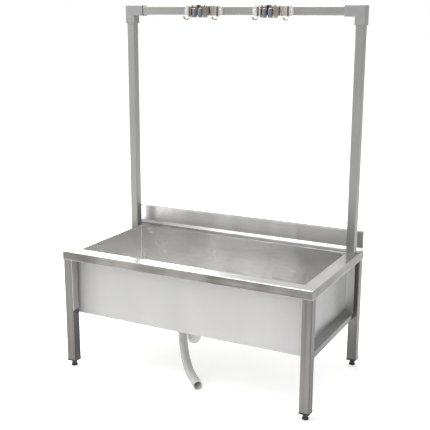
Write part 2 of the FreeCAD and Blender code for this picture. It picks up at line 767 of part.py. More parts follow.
def make_hook(name, x):
    """One J-shaped strap hook: shank, bend, flat, bend and rising tip."""
    left = f"{x} - hook_width / 2"
    root = "plate_wall"
    low = "(hook_shank / 2)"
    bend_y = f"({root} + hook_wall + hook_bend)"
    tip_y = f"({bend_y} + hook_flat)"
    down = FreeCAD.Vector(0, 0, -1)
    to_right = FreeCAD.Vector(1, 0, 0)
    shank = box(
        f"{name}_shank",
        (left, f"-{root} - hook_wall", f"-{low}"),
        ("hook_width", "hook_wall", "hook_shank"),
    )
    strap = ("hook_bend", "hook_wall", "hook_width")
    first_centre = (x, f"-{bend_y}", f"-{low}")
    first = ring_sector(f"{name}_bend", first_centre, *strap, down, to_right, "90")
    flat = box(
        f"{name}_flat",
        (left, f"-{tip_y}", f"-{low} - hook_bend - hook_wall"),
        ("hook_width", "hook_flat", "hook_wall"),
    )
    second_centre = (x, f"-{tip_y}", f"-{low}")
    second = ring_sector(f"{name}_rise", second_centre, *strap, down, -to_right, "hook_rise")
    tip = box(f"{name}_tip", ("0", "0", "0"), ("hook_width", "hook_tip", "hook_wall"))
    corner_y = f"-{tip_y} - (hook_bend + hook_wall) * sin(hook_rise * 1 deg)"
    corner_z = f"-{low} - (hook_bend + hook_wall) * cos(hook_rise * 1 deg)"
    half_turn = "180"
    place_turned(tip, f"{x} + hook_width / 2", corner_y, corner_z, half_turn, "hook_rise")
    return fuse(name, [shank, first, flat, second, tip])


def make_holder(number, sign):
    """One tool holder: a plate with two hooks and a sprung gripper with two rollers."""
    centre = (f"{sign}holder_spacing / 2", BAR_FRONT, BAR_Z)
    piece(f"holder_plate_{number}", place(make_plate(number), *centre))
    hooks = []
    screws = []
    for side, out in (("left", "-"), ("right", "")):
        hooks.append(make_hook(f"hook_{number}_{side}", f"{out}{HOOK_OUT}"))
        name = f"holder_screw_{number}_{side}"
        shank = "plate_wall + post_wall"
        screws.append(make_screw(name, f"{out}{SCREW_OUT}", "-plate_wall", "0", shank))
    hook_pair = group(f"hooks_{number}_group", hooks)
    screw_pair = group(f"holder_screws_{number}_group", screws)
    piece(f"hooks_{number}", place(hook_pair, *centre))
    piece(f"holder_screws_{number}", place(screw_pair, *centre))
    piece(f"gripper_saddle_{number}", place(make_saddle(number), *centre))
    piece(f"gripper_pins_{number}", place(make_pins(number), *centre))
    piece(f"gripper_spring_{number}", place(make_spring(number), *centre))
    for side, out in (("left", "-"), ("right", "")):
        arm = make_arm(f"arm_{number}_{side}", out)
        piece(f"gripper_arm_{number}_{side}", place(arm, *centre))
        roller = make_roller(f"roller_{number}_{side}")
        x = f"{centre[0]} {out or '+'} {ROLLER_X}"
        roller_place = (x, f"{BAR_FRONT} - plate_wall - roller_reach", f"{BAR_Z} - roller_drop")
        piece(f"gripper_roller_{number}_{side}", place(roller, *roller_place))


def make_plate(number):
    """A holder plate with rounded corners, a screw hole at each end and two pressed ribs."""
    body = new_body(f"plate_{number}_body")
    outline = new_sketch(body, "XZ_Plane", f"plate_{number}_outline")
    half_x = "plate_length / 2"
    half_z = "plate_height / 2"
    draw_rectangle(outline, f"-{half_x}", half_x, f"-{half_z}", half_z)
    blank = pad(body, outline, "plate_wall")
    fillet(body, blank, "plate_corner", lambda edge: is_along(edge, 1))
    ribs = new_sketch(body, "XZ_Plane", f"plate_{number}_ribs")
    for out in ("-", ""):
        low_x = f"{out}rib_offset - rib_width / 2"
        draw_rectangle(ribs, low_x, f"{low_x} + rib_width", "-rib_height / 2", "rib_height / 2")
    pad(body, ribs, "plate_wall + rib_rise")
    holes = new_sketch(body, "XZ_Plane", f"plate_{number}_holes", "plate_wall")
    for out in ("-", ""):
        draw_circle(holes, f"{out}{SCREW_OUT}", "0", "screw_diameter / 2 + spindle_clearance")
    pocket(body, holes, "2 * plate_wall")
    return body


def make_saddle(number):
    """The gripper saddle: a channel on the plate whose two flanges hold the arm pins."""
    half_x = "(pin_spacing / 2 + arm_boss / 2 + saddle_wall)"
    half_z = "(saddle_height / 2)"
    back = box(
        f"saddle_{number}_back",
        (f"-{half_x}", "-plate_wall - saddle_wall", f"-{half_z}"),
        (f"2 * {half_x}", "saddle_wall", "saddle_height"),
    )
    parts = [back]
    for name, low in (("lower", f"-{half_z}"), ("upper", f"{half_z} - saddle_wall")):
        flange = box(
            f"saddle_{number}_{name}",
            (f"-{half_x}", "-plate_wall - saddle_depth", low),
            (f"2 * {half_x}", "saddle_depth", "saddle_wall"),
        )
        parts.append(flange)
    bores = [
        cylinder(
            f"saddle_{number}_bore_{out or '+'}",
            (f"{out}pin_spacing / 2", "-plate_wall - pin_reach", "-saddle_height"),
            "pin_diameter / 2 + pin_clearance",
            "2 * saddle_height",
        )
        for out in ("-", "")
    ]
    solid = fuse(f"saddle_{number}_fuse", parts)
    return cut(f"saddle_{number}", solid, group(f"saddle_{number}_bores", bores))


def make_pins(number):
    """The two headed pins that carry the arms of a gripper."""
    pins = []
    for side, out in (("left", "-"), ("right", "")):
        centre = (f"{out}pin_spacing / 2", "-plate_wall - pin_reach")
        low = "-saddle_height / 2 - pin_head_height"
        shank = cylinder(
            f"pin_{number}_{side}_shank",
            (*centre, low),
            "pin_diameter / 2",
            "saddle_height + 2 * pin_head_height",
        )
        heads = [
            cylinder(f"pin_{number}_{side}_{end}", (*centre, start), "pin_head / 2", "pin_head_height")
            for end, start in (("top", "saddle_height / 2"), ("foot", low))
        ]
        pins.append(fuse(f"pin_{number}_{side}", [shank, *heads]))
    return group(f"pins_{number}", pins)


def make_arm(name, out):
    """A gripper arm: boss, outer web, two tabs and the roller spindle between them."""
    web_top = "(saddle_height / 2 - saddle_wall - arm_play)"
    boss_x = f"{out}pin_spacing / 2"
    pin_y = "(plate_wall + pin_reach)"
    roller_y = "(plate_wall + roller_reach)"
    tab_high = "(roller_length / 2 - roller_drop + arm_play)"
    tab_low = "(roller_length / 2 + roller_drop + arm_play + arm_wall)"
    tab_reach = "(roller_spindle / 2 + arm_wall)"
    web_out = "(pin_spacing / 2 + arm_boss / 2)"
    web_x = f"{web_out} - arm_wall" if out == "" else f"-{web_out}"
    web_front = f"({roller_y} + {tab_reach})"
    boss = cylinder(
        f"{name}_boss",
        (boss_x, f"-{pin_y}", f"-{web_top}"),
        "arm_boss / 2",
        f"2 * {web_top}",
    )
    web = box(
        f"{name}_web",
        (web_x, f"-{web_front}", f"-{web_top}"),
        ("arm_wall", f"{web_front} - {pin_y}", f"2 * {web_top}"),
    )
    apron_rear = "(plate_wall + saddle_depth + 2 * arm_wall)"
    apron = box(
        f"{name}_apron",
        (web_x, f"-{web_front}", f"-{tab_low}"),
        ("arm_wall", f"{web_front} - {apron_rear}", f"{tab_low} - {web_top}"),
    )
    parts = [boss, web, apron]
    tab_in = f"({ROLLER_X} - {tab_reach})"
    tab_x = tab_in if out == "" else f"-{web_out}"
    for tab, low in (("upper", tab_high), ("lower", f"-{tab_low}")):
        parts.append(
            box(
                f"{name}_{tab}_tab",
                (tab_x, f"-{web_front}", low),
                (f"{web_out} - {tab_in}", f"2 * {tab_reach}", "arm_wall"),
            )
        )
    parts.append(
        cylinder(
            f"{name}_spindle",
            (f"{out}{ROLLER_X}", f"-{roller_y}", f"-{tab_low}"),
            "roller_spindle / 2",
            f"{tab_low} + {tab_high} + arm_wall",
        )
    )
    parts.append(
        box(
            f"{name}_lug",
            (web_x, "-plate_wall - spring_reach - spring_diameter / 2", web_top),
            ("arm_wall", "spring_diameter", "spring_diameter"),
        )
    )
    bore = cylinder(
        f"{name}_bore",
        (boss_x, f"-{pin_y}", "-saddle_height"),
        "pin_diameter / 2 + pin_clearance",
        "2 * saddle_height",
    )
    return cut(name, fuse(f"{name}_fuse", parts), bore)


def make_roller(name):
    """A bored rubber roller with eased edges."""
    bore = "(roller_spindle / 2 + pin_clearance)"
    radius = "roller_diameter / 2"
    half = "roller_length / 2"
    return turned(
        f"{name}_body",
        [
            (bore, f"-{half}"),
            (f"{radius} - fold_radius / 2", f"-{half}"),
            (radius, f"-{half} + fold_radius / 2"),
            (radius, f"{half} - fold_radius / 2"),
            (f"{radius} - fold_radius / 2", half),
            (bore, half),
        ],
    )


def make_spring(number):
    """The gripper spring as a plain rod of the coil's size with a straight wire at each end."""
    height = "(saddle_height / 2 - saddle_wall - arm_play + spring_diameter / 2)"
    reach = "(pin_spacing / 2 + arm_boss / 2 - arm_wall - arm_play)"
    sideways = FreeCAD.Rotation(FreeCAD.Vector(0, 1, 0), 90)
    rods = []
    for name, radius, half in (
        ("coil", "spring_diameter / 2", "(spring_length / 2)"),
        ("wire", "spring_wire / 2", reach),
    ):
        rod = cylinder(f"spring_{number}_{name}", ("0", "0", "0"), radius, f"2 * {half}")
        rod.Placement = FreeCAD.Placement(FreeCAD.Vector(), sideways)
        rods.append(place(rod, f"-{half}", "-plate_wall - spring_reach", height))
    return fuse(f"spring_{number}", rods)


def make_drain():
    """The waste: strainer, tail, gasket and lock nut at the basin floor, then the trap."""
    at_drain = ("-drain_side", DRAIN_Y)
    tail_top = f"({BASIN_UNDER} + sheet_wall)"
    piece("strainer", place(make_strainer(), *at_drain, tail_top))
    tail = turned(
        "tail_body",
        [
            ("drain_bore / 2", "-tail_length - sheet_wall"),
            ("tail_diameter / 2", "-tail_length - sheet_wall"),
            ("tail_diameter / 2", "0"),
            ("drain_bore / 2", "0"),
        ],
    )
    piece("drain_tail", place(tail, *at_drain, tail_top))
    gasket = turned(
        "gasket_body",
        [
            ("tail_diameter / 2 + plug_clearance", "-gasket_wall"),
            ("strainer_diameter / 2", "-gasket_wall"),
            ("strainer_diameter / 2", "0"),
            ("tail_diameter / 2 + plug_clearance", "0"),
        ],
    )
    piece("drain_gasket", place(gasket, *at_drain, BASIN_UNDER))
    hexagon = DOC.addObject("Part::Prism", "lock_nut_hexagon")
    hexagon.Polygon = 6
    hexagon.setExpression("Circumradius", full("nut_width / 2"))
    hexagon.setExpression("Height", full("nut_height"))
    nut_bore = cylinder(
        "lock_nut_bore",
        ("0", "0", "-nut_height"),
        "tail_diameter / 2 + spindle_clearance",
        "3 * nut_height",
    )
    nut = cut("lock_nut_cut", hexagon, nut_bore)
    piece("drain_lock_nut", place(nut, *at_drain, f"{BASIN_UNDER} - gasket_wall - nut_height"))
    make_trap(at_drain)


def make_strainer():
    """The strainer: a flange on the basin floor round a perforated dish."""
    dish = "(drain_bore / 2 - end_gap)"
    depth = "(2 * strainer_rise)"
    flange = "strainer_diameter / 2"
    body = turned(
        "strainer_body",
        [
            ("0", f"-{depth}"),
            (dish, f"-{depth}"),
            (dish, "0"),
            (flange, "0"),
            (f"{flange} - strainer_rise", "strainer_rise"),
            (f"{dish} + sheet_wall", "strainer_rise"),
            (f"{dish} - sheet_wall", "0"),
            (f"{dish} - sheet_wall", f"-{depth} + sheet_wall"),
            ("0", f"-{depth} + sheet_wall"),
        ],
    )
    for ring, count in (("inner", 5), ("outer", 10)):
        sketch = new_sketch(body, "XY_Plane", f"strainer_{ring}_hole")
        draw_circle(sketch, f"strainer_{ring}", "0", "strainer_hole / 2")
        hole = pocket(body, sketch, "4 * strainer_rise")
        holes = body.newObject("PartDesign::PolarPattern", f"strainer_{ring}_holes")
        holes.Originals = [hole]
        holes.Axis = (origin_feature(body, "Z_Axis"), [""])
        holes.Angle = 360
        holes.Occurrences = count
        body.Tip = holes
    return body


def make_trap(at_drain):
    """The trap: a body that hangs on the tail, its cup, its elbow and the hose collar."""
    outer = "(trap_diameter / 2)"
    bore = "(trap_diameter / 2 - trap_wall)"
    pipe = "(elbow_bore / 2 + trap_wall)"
    shell = turned(
        "trap_shell",
        [
            (bore, "-trap_length"),
            (outer, "-trap_length"),
            (outer, "socket_height"),
            ("tail_diameter / 2 + spindle_clearance", "socket_height"),
            ("tail_diameter / 2 + spindle_clearance", "0"),
            ("drain_bore / 2", "0"),
            ("drain_bore / 2", "-trap_wall"),
            (bore, "-trap_wall"),
        ],
    )
    outlet_z = "(-elbow_bore / 2 - 2 * trap_wall)"
    stub_end = "(outlet_reach - elbow_bend)"
    stub = sideways_pipe("trap_stub", pipe, "0", stub_end, outlet_z)
    stub_bore = sideways_pipe("trap_stub_bore", "elbow_bore / 2", "0", f"2 * {stub_end}", outlet_z)
    trap_bore = cylinder(
        "trap_clear_bore",
        ("0", "0", "-trap_length"),
        bore,
        "trap_length - trap_wall",
    )
    hollow = group("trap_hollows", [stub_bore, trap_bore])
    body = cut("trap_body_cut", fuse("trap_body_fuse", [shell, stub]), hollow)
    piece("trap_body", place_turned(body, *at_drain, TAIL_END, "outlet_turn"))
    piece("trap_cup", place(make_cup(outer, bore), *at_drain, TRAP_JOINT))
    make_outlet(at_drain, pipe)


def sideways_pipe(name, radius, start, end, z):
    """A cylinder that points along -X from start to end."""
    solid = cylinder(name, ("0", "0", "0"), radius, f"{end} - {start}")
    turn = FreeCAD.Rotation(FreeCAD.Vector(0, 1, 0), -90)
    solid.Placement = FreeCAD.Placement(FreeCAD.Vector(), turn)
    return place(solid, f"-({start})", "0", z)


def make_cup(outer, bore):
    """The trap cup: a round-bottomed beaker whose rim meets the trap body."""
    body = new_body("trap_cup_body")
    centre = f"(cup_depth - {outer})"
    sketch = new_sketch(body, "XZ_Plane", "trap_cup_outline")
    vectors = {
        "rim_in": (bore, "0"),
        "rim_out": (outer, "0"),
        "turn_out": (outer, f"-{centre}"),
        "low_out": ("0", "-cup_depth"),
        "low_in": ("0", "-cup_depth + trap_wall"),
        "turn_in": (bore, f"-{centre}"),
    }
    spots = {name: FreeCAD.Vector(size(x), size(z), 0) for name, (x, z) in vectors.items()}
    middle = FreeCAD.Vector(0, -size(centre), 0)
    normal = FreeCAD.Vector(0, 0, 1)
    outer_arc = Part.ArcOfCircle(Part.Circle(middle, normal, size(outer)), -math.pi / 2, 0)
    inner_arc = Part.ArcOfCircle(Part.Circle(middle, normal, size(bore)), -math.pi / 2, 0)
    sketch.addGeometry(Part.LineSegment(spots["rim_in"], spots["rim_out"]), False)
    sketch.addGeometry(Part.LineSegment(spots["rim_out"], spots["turn_out"]), False)
    sketch.addGeometry(outer_arc, False)
    sketch.addGeometry(Part.LineSegment(spots["low_out"], spots["low_in"]), False)
    sketch.addGeometry(inner_arc, False)
    sketch.addGeometry(Part.LineSegment(spots["turn_in"], spots["rim_in"]), False)
    for first, first_end, second, second_end in (
        (0, 2, 1, 1),
        (1, 2, 2, 2),
        (2, 1, 3, 1),
        (3, 2, 4, 1),
        (4, 2, 5, 1),
        (5, 2, 0, 1),
    ):
        sketch.addConstraint(Sketcher.Constraint("Coincident", first, first_end, second, second_end))
    for arc in (2, 4):
        pin_point(sketch, arc, 3, "0", f"-{centre}")
    pin_point(sketch, 0, 1, *vectors["rim_in"])
    pin_point(sketch, 0, 2, *vectors["rim_out"])
    pin_point(sketch, 1, 2, *vectors["turn_out"])
    pin_point(sketch, 4, 2, *vectors["turn_in"])
    sketch.addConstraint(Sketcher.Constraint("Vertical", 3))
    sketch.addConstraint(Sketcher.Constraint("PointOnObject", 3, 1, -2))
    turn = body.newObject("PartDesign::Revolution", "trap_cup_turn")
    turn.Profile = sketch
    turn.ReferenceAxis = (sketch, ["V_Axis"])
    turn.Angle = 360
    return body


def make_outlet(at_drain, pipe):
    """The outlet elbow, which turns the flow downwards, and the collar that holds the hose."""
    bend_start = "(outlet_reach - elbow_bend)"
    outwards = FreeCAD.Vector(-1, 0, 0)
    bend_axis = FreeCAD.Vector(0, -1, 0)
    turn = FreeCAD.Rotation(outwards, bend_axis.cross(outwards), bend_axis, "ZXY")
    elbow = []
    for name, radius in (("outside", pipe), ("inside", "elbow_bore / 2")):
        torus = DOC.addObject("Part::Torus", f"outlet_{name}")
        torus.setExpression("Radius1", full("elbow_bend"))
        torus.setExpression("Radius2", full(radius))
        torus.Angle3 = 90
        torus.Placement = FreeCAD.Placement(FreeCAD.Vector(), turn)
        elbow.append(place(torus, f"-{bend_start}", "0", "-elbow_bend"))
    body = cut("outlet_elbow_cut", *elbow)
    where = (*at_drain, OUTLET_Z, "outlet_turn", "-outlet_tilt")
    piece("trap_elbow", place_turned(body, *where))
    collar = turned(
        "collar_body",
        [
            ("elbow_bore / 2", "-hose_collar"),
            ("hose_diameter / 2 + trap_wall", "-hose_collar"),
            ("hose_diameter / 2 + trap_wall", "-fold_radius"),
            ("hose_diameter / 2 + trap_wall - fold_radius", "0"),
            ("elbow_bore / 2", "0"),
        ],
    )
    place(collar, "-outlet_reach", "0", "-elbow_bend")
    piece("hose_collar", place_turned(group("collar_group", [collar]), *where))


# The hose's route, from the lower face of its collar to its open end near the floor.
HOSE_ROUTE = [
    (0.0, 0.0, 0.0),
    (17.5, -25.0, -43.6),
    (42.3, -55.6, -79.5),
    (73.1, -90.1, -105.8),
    (108.4, -126.9, -121.2),
    (146.0, -160.5, -124.9),
    (180.4, -197.4, -128.2),
]
ARC_SHARE = 0.45  # share of a route's shorter run that the arc at its end may use
HOSE_VOLUME_SLACK = 0.01  # share by which the hose's volume may miss its section times its length


def route_wire(points):
    """Straight runs joined by tangent arcs, each as large as its two runs allow."""
    vectors = [FreeCAD.Vector(*point) for point in points]
    edges = []
    here = vectors[0]
    for index in range(1, len(vectors) - 1):
        before = vectors[index] - vectors[index - 1]
        after = vectors[index + 1] - vectors[index]
        trim = ARC_SHARE * min(before.Length, after.Length)
        arc_start = vectors[index] - before.normalize() * trim
        arc_end = vectors[index] + after.normalize() * trim
        half_turn = before.getAngle(after) / 2
        radius = trim / math.tan(half_turn)
        print(f"hose bend {index}: radius {radius:.0f} mm")
        inward = (after - before).normalize()
        centre = vectors[index] + inward * (radius / math.cos(half_turn))
        middle = centre - inward * radius
        edges.append(Part.LineSegment(here, arc_start).toShape())
        edges.append(Part.Arc(arc_start, middle, arc_end).toShape())
        here = arc_end
    edges.append(Part.LineSegment(here, vectors[-1]).toShape())
    return Part.Wire(edges)


def make_hose():
    """The drain hose: a tube swept along its route from the collar."""
    wire = route_wire(HOSE_ROUTE)
    start = FreeCAD.Vector(*HOSE_ROUTE[0])
    along = FreeCAD.Vector(*HOSE_ROUTE[1]) - start
    outer = size("hose_diameter / 2")
    inner = size("hose_diameter / 2 - hose_wall")
    tubes = []
    for radius in (outer, inner):
        profile = Part.Wire([Part.makeCircle(radius, start, along)])
        tubes.append(wire.makePipeShell([profile], True, True))
    shape = tubes[0].cut(tubes[1])
    wanted = math.pi * (outer**2 - inner**2) * wire.Length
    print(f"hose length {wire.Length:.0f} mm, volume {shape.Volume:.0f} of {wanted:.0f}")
    if abs(shape.Volume / wanted - 1) > HOSE_VOLUME_SLACK:
        raise ValueError("the hose's volume does not match its section and length")
    hose = DOC.addObject("Part::Feature", "hose_tube")
    hose.Shape = shape.Solids[0]
    reach = FreeCAD.Vector(-size("outlet_reach"), 0, -size("elbow_bend + hose_collar"))
    turn = FreeCAD.Rotation(size("outlet_turn"), 0, -size("outlet_tilt"))
    outlet = FreeCAD.Vector(-size("drain_side"), size(DRAIN_Y), size(OUTLET_Z))
    hose.Placement = FreeCAD.Placement(outlet + turn.multVec(reach), FreeCAD.Rotation())
    print(f"hose starts at {tuple(round(value, 1) for value in hose.Placement.Base)}")
    piece("drain_hose", hose)


def check_document():
    """Stop if anything in the document failed to build."""
    for item in DOC.Objects:
        if "Invalid" in item.State or "Error" in item.State:
            raise ValueError(f"{item.Name} failed: {item.State}")
    labels = [item.Label for item in NODES]
    if len(set(labels)) != len(labels):
        raise ValueError("two pieces share a name")
    for item in NODES:
        if item.Shape.isNull() or not item.Shape.isValid() or not item.Shape.Solids:
            raise ValueError(f"{item.Label} is not a valid solid")


def main():
    """Build every piece, check the document and write one file for each piece."""
    make_deck()
    make_basin()
    make_backsplash()
    make_side_panels()
    make_legs()
    make_arch()
    for number, sign in ((1, "-"), (2, "")):
        make_holder(number, sign)
    make_drain()
    make_hose()
    DOC.recompute()
    check_document()
    os.makedirs("parts", exist_ok=True)
    for item in NODES:
        item.Shape.exportStep(os.path.join("parts", f"{item.Label}.step"))
    print(f"{len(NODES)} pieces written")


main()
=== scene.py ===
"""Stainless mop sink with an overhead tool rail: the looks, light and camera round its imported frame.

Everything is in metres. +Z is up, +X is to the right of someone in front of the sink, -Y points at them.
"""

import logging
import math
from collections.abc import Callable, Iterable, Sequence
from dataclasses import dataclass, field
from enum import Enum

import bmesh
import bpy
from mathutils import Matrix, Vector


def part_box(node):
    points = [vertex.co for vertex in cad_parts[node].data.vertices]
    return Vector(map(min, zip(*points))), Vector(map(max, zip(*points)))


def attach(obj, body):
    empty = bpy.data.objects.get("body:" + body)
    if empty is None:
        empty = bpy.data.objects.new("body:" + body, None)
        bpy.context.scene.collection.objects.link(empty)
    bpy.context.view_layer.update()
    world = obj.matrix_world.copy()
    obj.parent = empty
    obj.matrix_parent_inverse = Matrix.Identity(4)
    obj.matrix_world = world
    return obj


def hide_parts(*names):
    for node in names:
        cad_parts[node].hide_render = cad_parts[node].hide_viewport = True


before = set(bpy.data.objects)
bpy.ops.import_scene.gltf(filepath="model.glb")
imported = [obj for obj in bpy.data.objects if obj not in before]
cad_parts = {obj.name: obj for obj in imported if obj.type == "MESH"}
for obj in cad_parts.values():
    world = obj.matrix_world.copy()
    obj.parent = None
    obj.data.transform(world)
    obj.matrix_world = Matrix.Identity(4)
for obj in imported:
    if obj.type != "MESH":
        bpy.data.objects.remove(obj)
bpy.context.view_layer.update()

LOG = logging.getLogger("mop_sink")
MM = 0.001
FULL_TURN = 2 * math.pi
MERGE_WITHIN = 0.002 * MM
LINING_LIP = 0.02

Colour = tuple[float, float, float]
Shape = Callable[[Vector, float], Vector]

POLISHED_EDGE: Colour = (0.86, 0.86, 0.85)


def shaded(colour: Colour, share: float) -> Colour:
    """A colour made darker or brighter."""
    return tuple(share * channel for channel in colour)


class Value:
    """A number that varies over a surface. Operators on it add Math nodes to its graph."""

    def __init__(self, graph: "Graph", socket: bpy.types.NodeSocket) -> None:
        """Wrap an output socket.

        Args:
            graph: The graph that the socket belongs to.
            socket: The socket that gives the number.
        """
        self.graph = graph
        self.socket = socket

    def _math(self, operation: str, first: "Value | float", second: "Value | float") -> "Value":
        """Add one Math node.

        Args:
            operation: The node's operation.
            first: Its upper input.
            second: Its lower input.

        Returns:
            What the node gives.
        """
        node = self.graph.node("ShaderNodeMath", {"operation": operation}, {0: first, 1: second})
        return Value(self.graph, node.outputs[0])

    def __add__(self, other: "Value | float") -> "Value":
        """The sum."""
        return self._math("ADD", self, other)

    def __radd__(self, other: float) -> "Value":
        """The sum, number first."""
        return self._math("ADD", other, self)

    def __sub__(self, other: "Value | float") -> "Value":
        """The difference."""
        return self._math("SUBTRACT", self, other)

    def __rsub__(self, other: float) -> "Value":
        """The difference, number first."""
        return self._math("SUBTRACT", other, self)

    def __mul__(self, other: "Value | float") -> "Value":
        """The product."""
        return self._math("MULTIPLY", self, other)

    def __rmul__(self, other: float) -> "Value":
        """The product, number first."""
        return self._math("MULTIPLY", other, self)

    def __pow__(self, other: float) -> "Value":
        """The power."""
        return self._math("POWER", self, other)

    def __abs__(self) -> "Value":
        """The size without its sign."""
        return self._math("ABSOLUTE", self, 0.0)

    def above(self, other: "Value | float") -> "Value":
        """1 where this is the greater of the two, and 0 elsewhere."""
        return self._math("GREATER_THAN", self, other)

    def at_least(self, other: "Value | float") -> "Value":
        """The greater of the two."""
        return self._math("MAXIMUM", self, other)

    def ramp(self, low: float, high: float) -> "Value":
        """Rise smoothly from 0 at one value to 1 at another.

        Args:
            low: Where the rise begins.
            high: Where it ends.

        Returns:
            The share risen, from 0 to 1.
        """
        settings = {"interpolation_type": "SMOOTHSTEP", "clamp": True}
        node = self.graph.node("ShaderNodeMapRange", settings, {0: self, 1: low, 2: high, 3: 0.0, 4: 1.0})
        return Value(self.graph, node.outputs[0])


class Graph:
    """A node tree and the few ways in which this scene adds to it."""

    def __init__(self, tree: bpy.types.NodeTree) -> None:
        """Start with an empty tree.

        Args:
            tree: The tree of a material or of the world.
        """
        self.tree = tree
        tree.nodes.clear()

    def node(self, kind: str, settings: dict, inputs: dict) -> bpy.types.Node:
        """Add one node.

        Args:
            kind: The node's type.
            settings: Its own properties, set first. "stops" are a colour ramp's.
            inputs: What its sockets get, by name or number: a value, a socket or a constant.

        Returns:
            The node.
        """
        made = self.tree.nodes.new(kind)
        for name, setting in settings.items():
            if name == "stops":
                ramp = made.color_ramp
                while len(ramp.elements) < len(setting):
                    ramp.elements.new(0.5)
                for element, (position, colour) in zip(ramp.elements, setting):
                    element.position = position
                    element.color = (*colour, 1.0)
            else:
                setattr(made, name, setting)
        for name, given in inputs.items():
            source = given.socket if isinstance(given, Value) else given
            if isinstance(source, bpy.types.NodeSocket):
                self.tree.links.new(source, made.inputs[name])
            else:
                made.inputs[name].default_value = source
        return made

    def place(self) -> bpy.types.NodeSocket:
        """The point on the piece, in metres."""
        return self.node("ShaderNodeTexCoord", {}, {}).outputs["Object"]

    def facing(self) -> bpy.types.NodeSocket:
        """The direction that the flat face looks in, in the row frame."""
        return self.node("ShaderNodeNewGeometry", {}, {}).outputs["True Normal"]

    def parts(self, vector: bpy.types.NodeSocket) -> tuple[Value, Value, Value]:
        """The three numbers of a vector.

        Args:
            vector: The vector's socket.

        Returns:
            Its X, Y and Z.
        """
        node = self.node("ShaderNodeSeparateXYZ", {}, {0: vector})
        return tuple(Value(self, node.outputs[index]) for index in range(3))

    def stretched(self, vector: bpy.types.NodeSocket, by: Sequence[float]) -> bpy.types.NodeSocket:
        """A vector times three numbers.

        Args:
            vector: The vector's socket.
            by: What X, Y and Z are multiplied by.

        Returns:
            The stretched vector's socket.
        """
        node = self.node("ShaderNodeVectorMath", {"operation": "MULTIPLY"}, {0: vector, 1: tuple(by)})
        return node.outputs[0]

    def choose(
        self, share: Value, first: bpy.types.NodeSocket, second: bpy.types.NodeSocket
    ) -> bpy.types.NodeSocket:
        """A mix of two vectors.

        Args:
            share: 0 for the first and 1 for the second.
            first: The first vector.
            second: The second vector.

        Returns:
            The mixed vector's socket.
        """
        node = self.node("ShaderNodeMix", {"data_type": "VECTOR"}, {0: share, 4: first, 5: second})
        return node.outputs[1]

    def tint(
        self, share: Value, first: "Colour | bpy.types.NodeSocket", second: "Colour | bpy.types.NodeSocket"
    ) -> bpy.types.NodeSocket:
        """A mix of two colours.

        Args:
            share: 0 for the first and 1 for the second.
            first: The first colour.
            second: The second colour.

        Returns:
            The mixed colour's socket.
        """
        pair = [(*c, 1.0) if isinstance(c, tuple) else c for c in (first, second)]
        settings = {"data_type": "RGBA", "clamp_factor": True}
        node = self.node("ShaderNodeMix", settings, {0: share, 6: pair[0], 7: pair[1]})
        return node.outputs[2]

    def noise(
        self, vector: bpy.types.NodeSocket, scale: float, detail: float = 2.0, warp: float = 0.0
    ) -> Value:
        """Soft noise.

        Args:
            vector: Where it is read.
            scale: How fine it is, per metre.
            detail: How many finer layers it has.
            warp: How much it is distorted.

        Returns:
            The noise, which stays round 0.5.
        """
        sockets = {"Vector": vector, "Scale": scale, "Detail": detail, "Distortion": warp}
        return Value(self, self.node("ShaderNodeTexNoise", {}, sockets).outputs[0])

    def rounded(self, radius: float) -> bpy.types.NodeSocket:
        """The normal of a surface whose edges are softened.

        Args:
            radius: The softening's radius.

        Returns:
            The normal's socket.
        """
        return self.node("ShaderNodeBevel", {"samples": 4}, {"Radius": radius}).outputs[0]

    def edges(self, radius: float) -> Value:
        """How near a point is to a sharp edge.

        Args:
            radius: How far from an edge the answer is felt.

        Returns:
            1 at an edge and 0 away from it.
        """
        inputs = {0: self.rounded(radius), 1: self.facing()}
        turn = self.node("ShaderNodeVectorMath", {"operation": "DOT_PRODUCT"}, inputs)
        return 1.0 - Value(self, turn.outputs["Value"]).ramp(0.72, 0.99)

    def bumped(self, height: Value, depth: float, under: bpy.types.NodeSocket) -> bpy.types.NodeSocket:
        """A normal disturbed by a height.

        Args:
            height: The height, from 0 to 1.
            depth: What 1 stands for, in metres.
            under: The normal that is disturbed.

        Returns:
            The normal's socket.
        """
        inputs = {"Height": height, "Distance": depth, "Strength": 1.0, "Normal": under}
        return self.node("ShaderNodeBump", {}, inputs).outputs[0]

    def surface(self, sockets: dict) -> None:
        """Finish a material with one shader.

        Args:
            sockets: What the shader's sockets get.
        """
        shader = self.node("ShaderNodeBsdfPrincipled", {}, sockets)
        self.node("ShaderNodeOutputMaterial", {}, {"Surface": shader.outputs[0]})


class Grain(Enum):
    """The direction in which a metal is brushed or drawn."""

    ALONG_X = (0.02, 1.0, 1.0)
    ALONG_Y = (1.0, 0.02, 1.0)
    ALONG_Z = (1.0, 1.0, 0.02)
    EVEN = (1.0, 1.0, 1.0)


@dataclass(frozen=True)
class Finish:
    """What a surface is made of. Each kind of finish paints its own node tree."""

    name: str

    def material(self) -> bpy.types.Material:
        """The finish as a material, made the first time it is asked for."""
        known = bpy.data.materials.get(self.name)
        if known is not None:
            return known
        made = bpy.data.materials.new(self.name)
        made.use_nodes = True
        self.paint(Graph(made.node_tree))
        return made

    def paint(self, graph: Graph) -> None:
        """Fill the node tree.

        Args:
            graph: The empty tree.
        """
        raise NotImplementedError


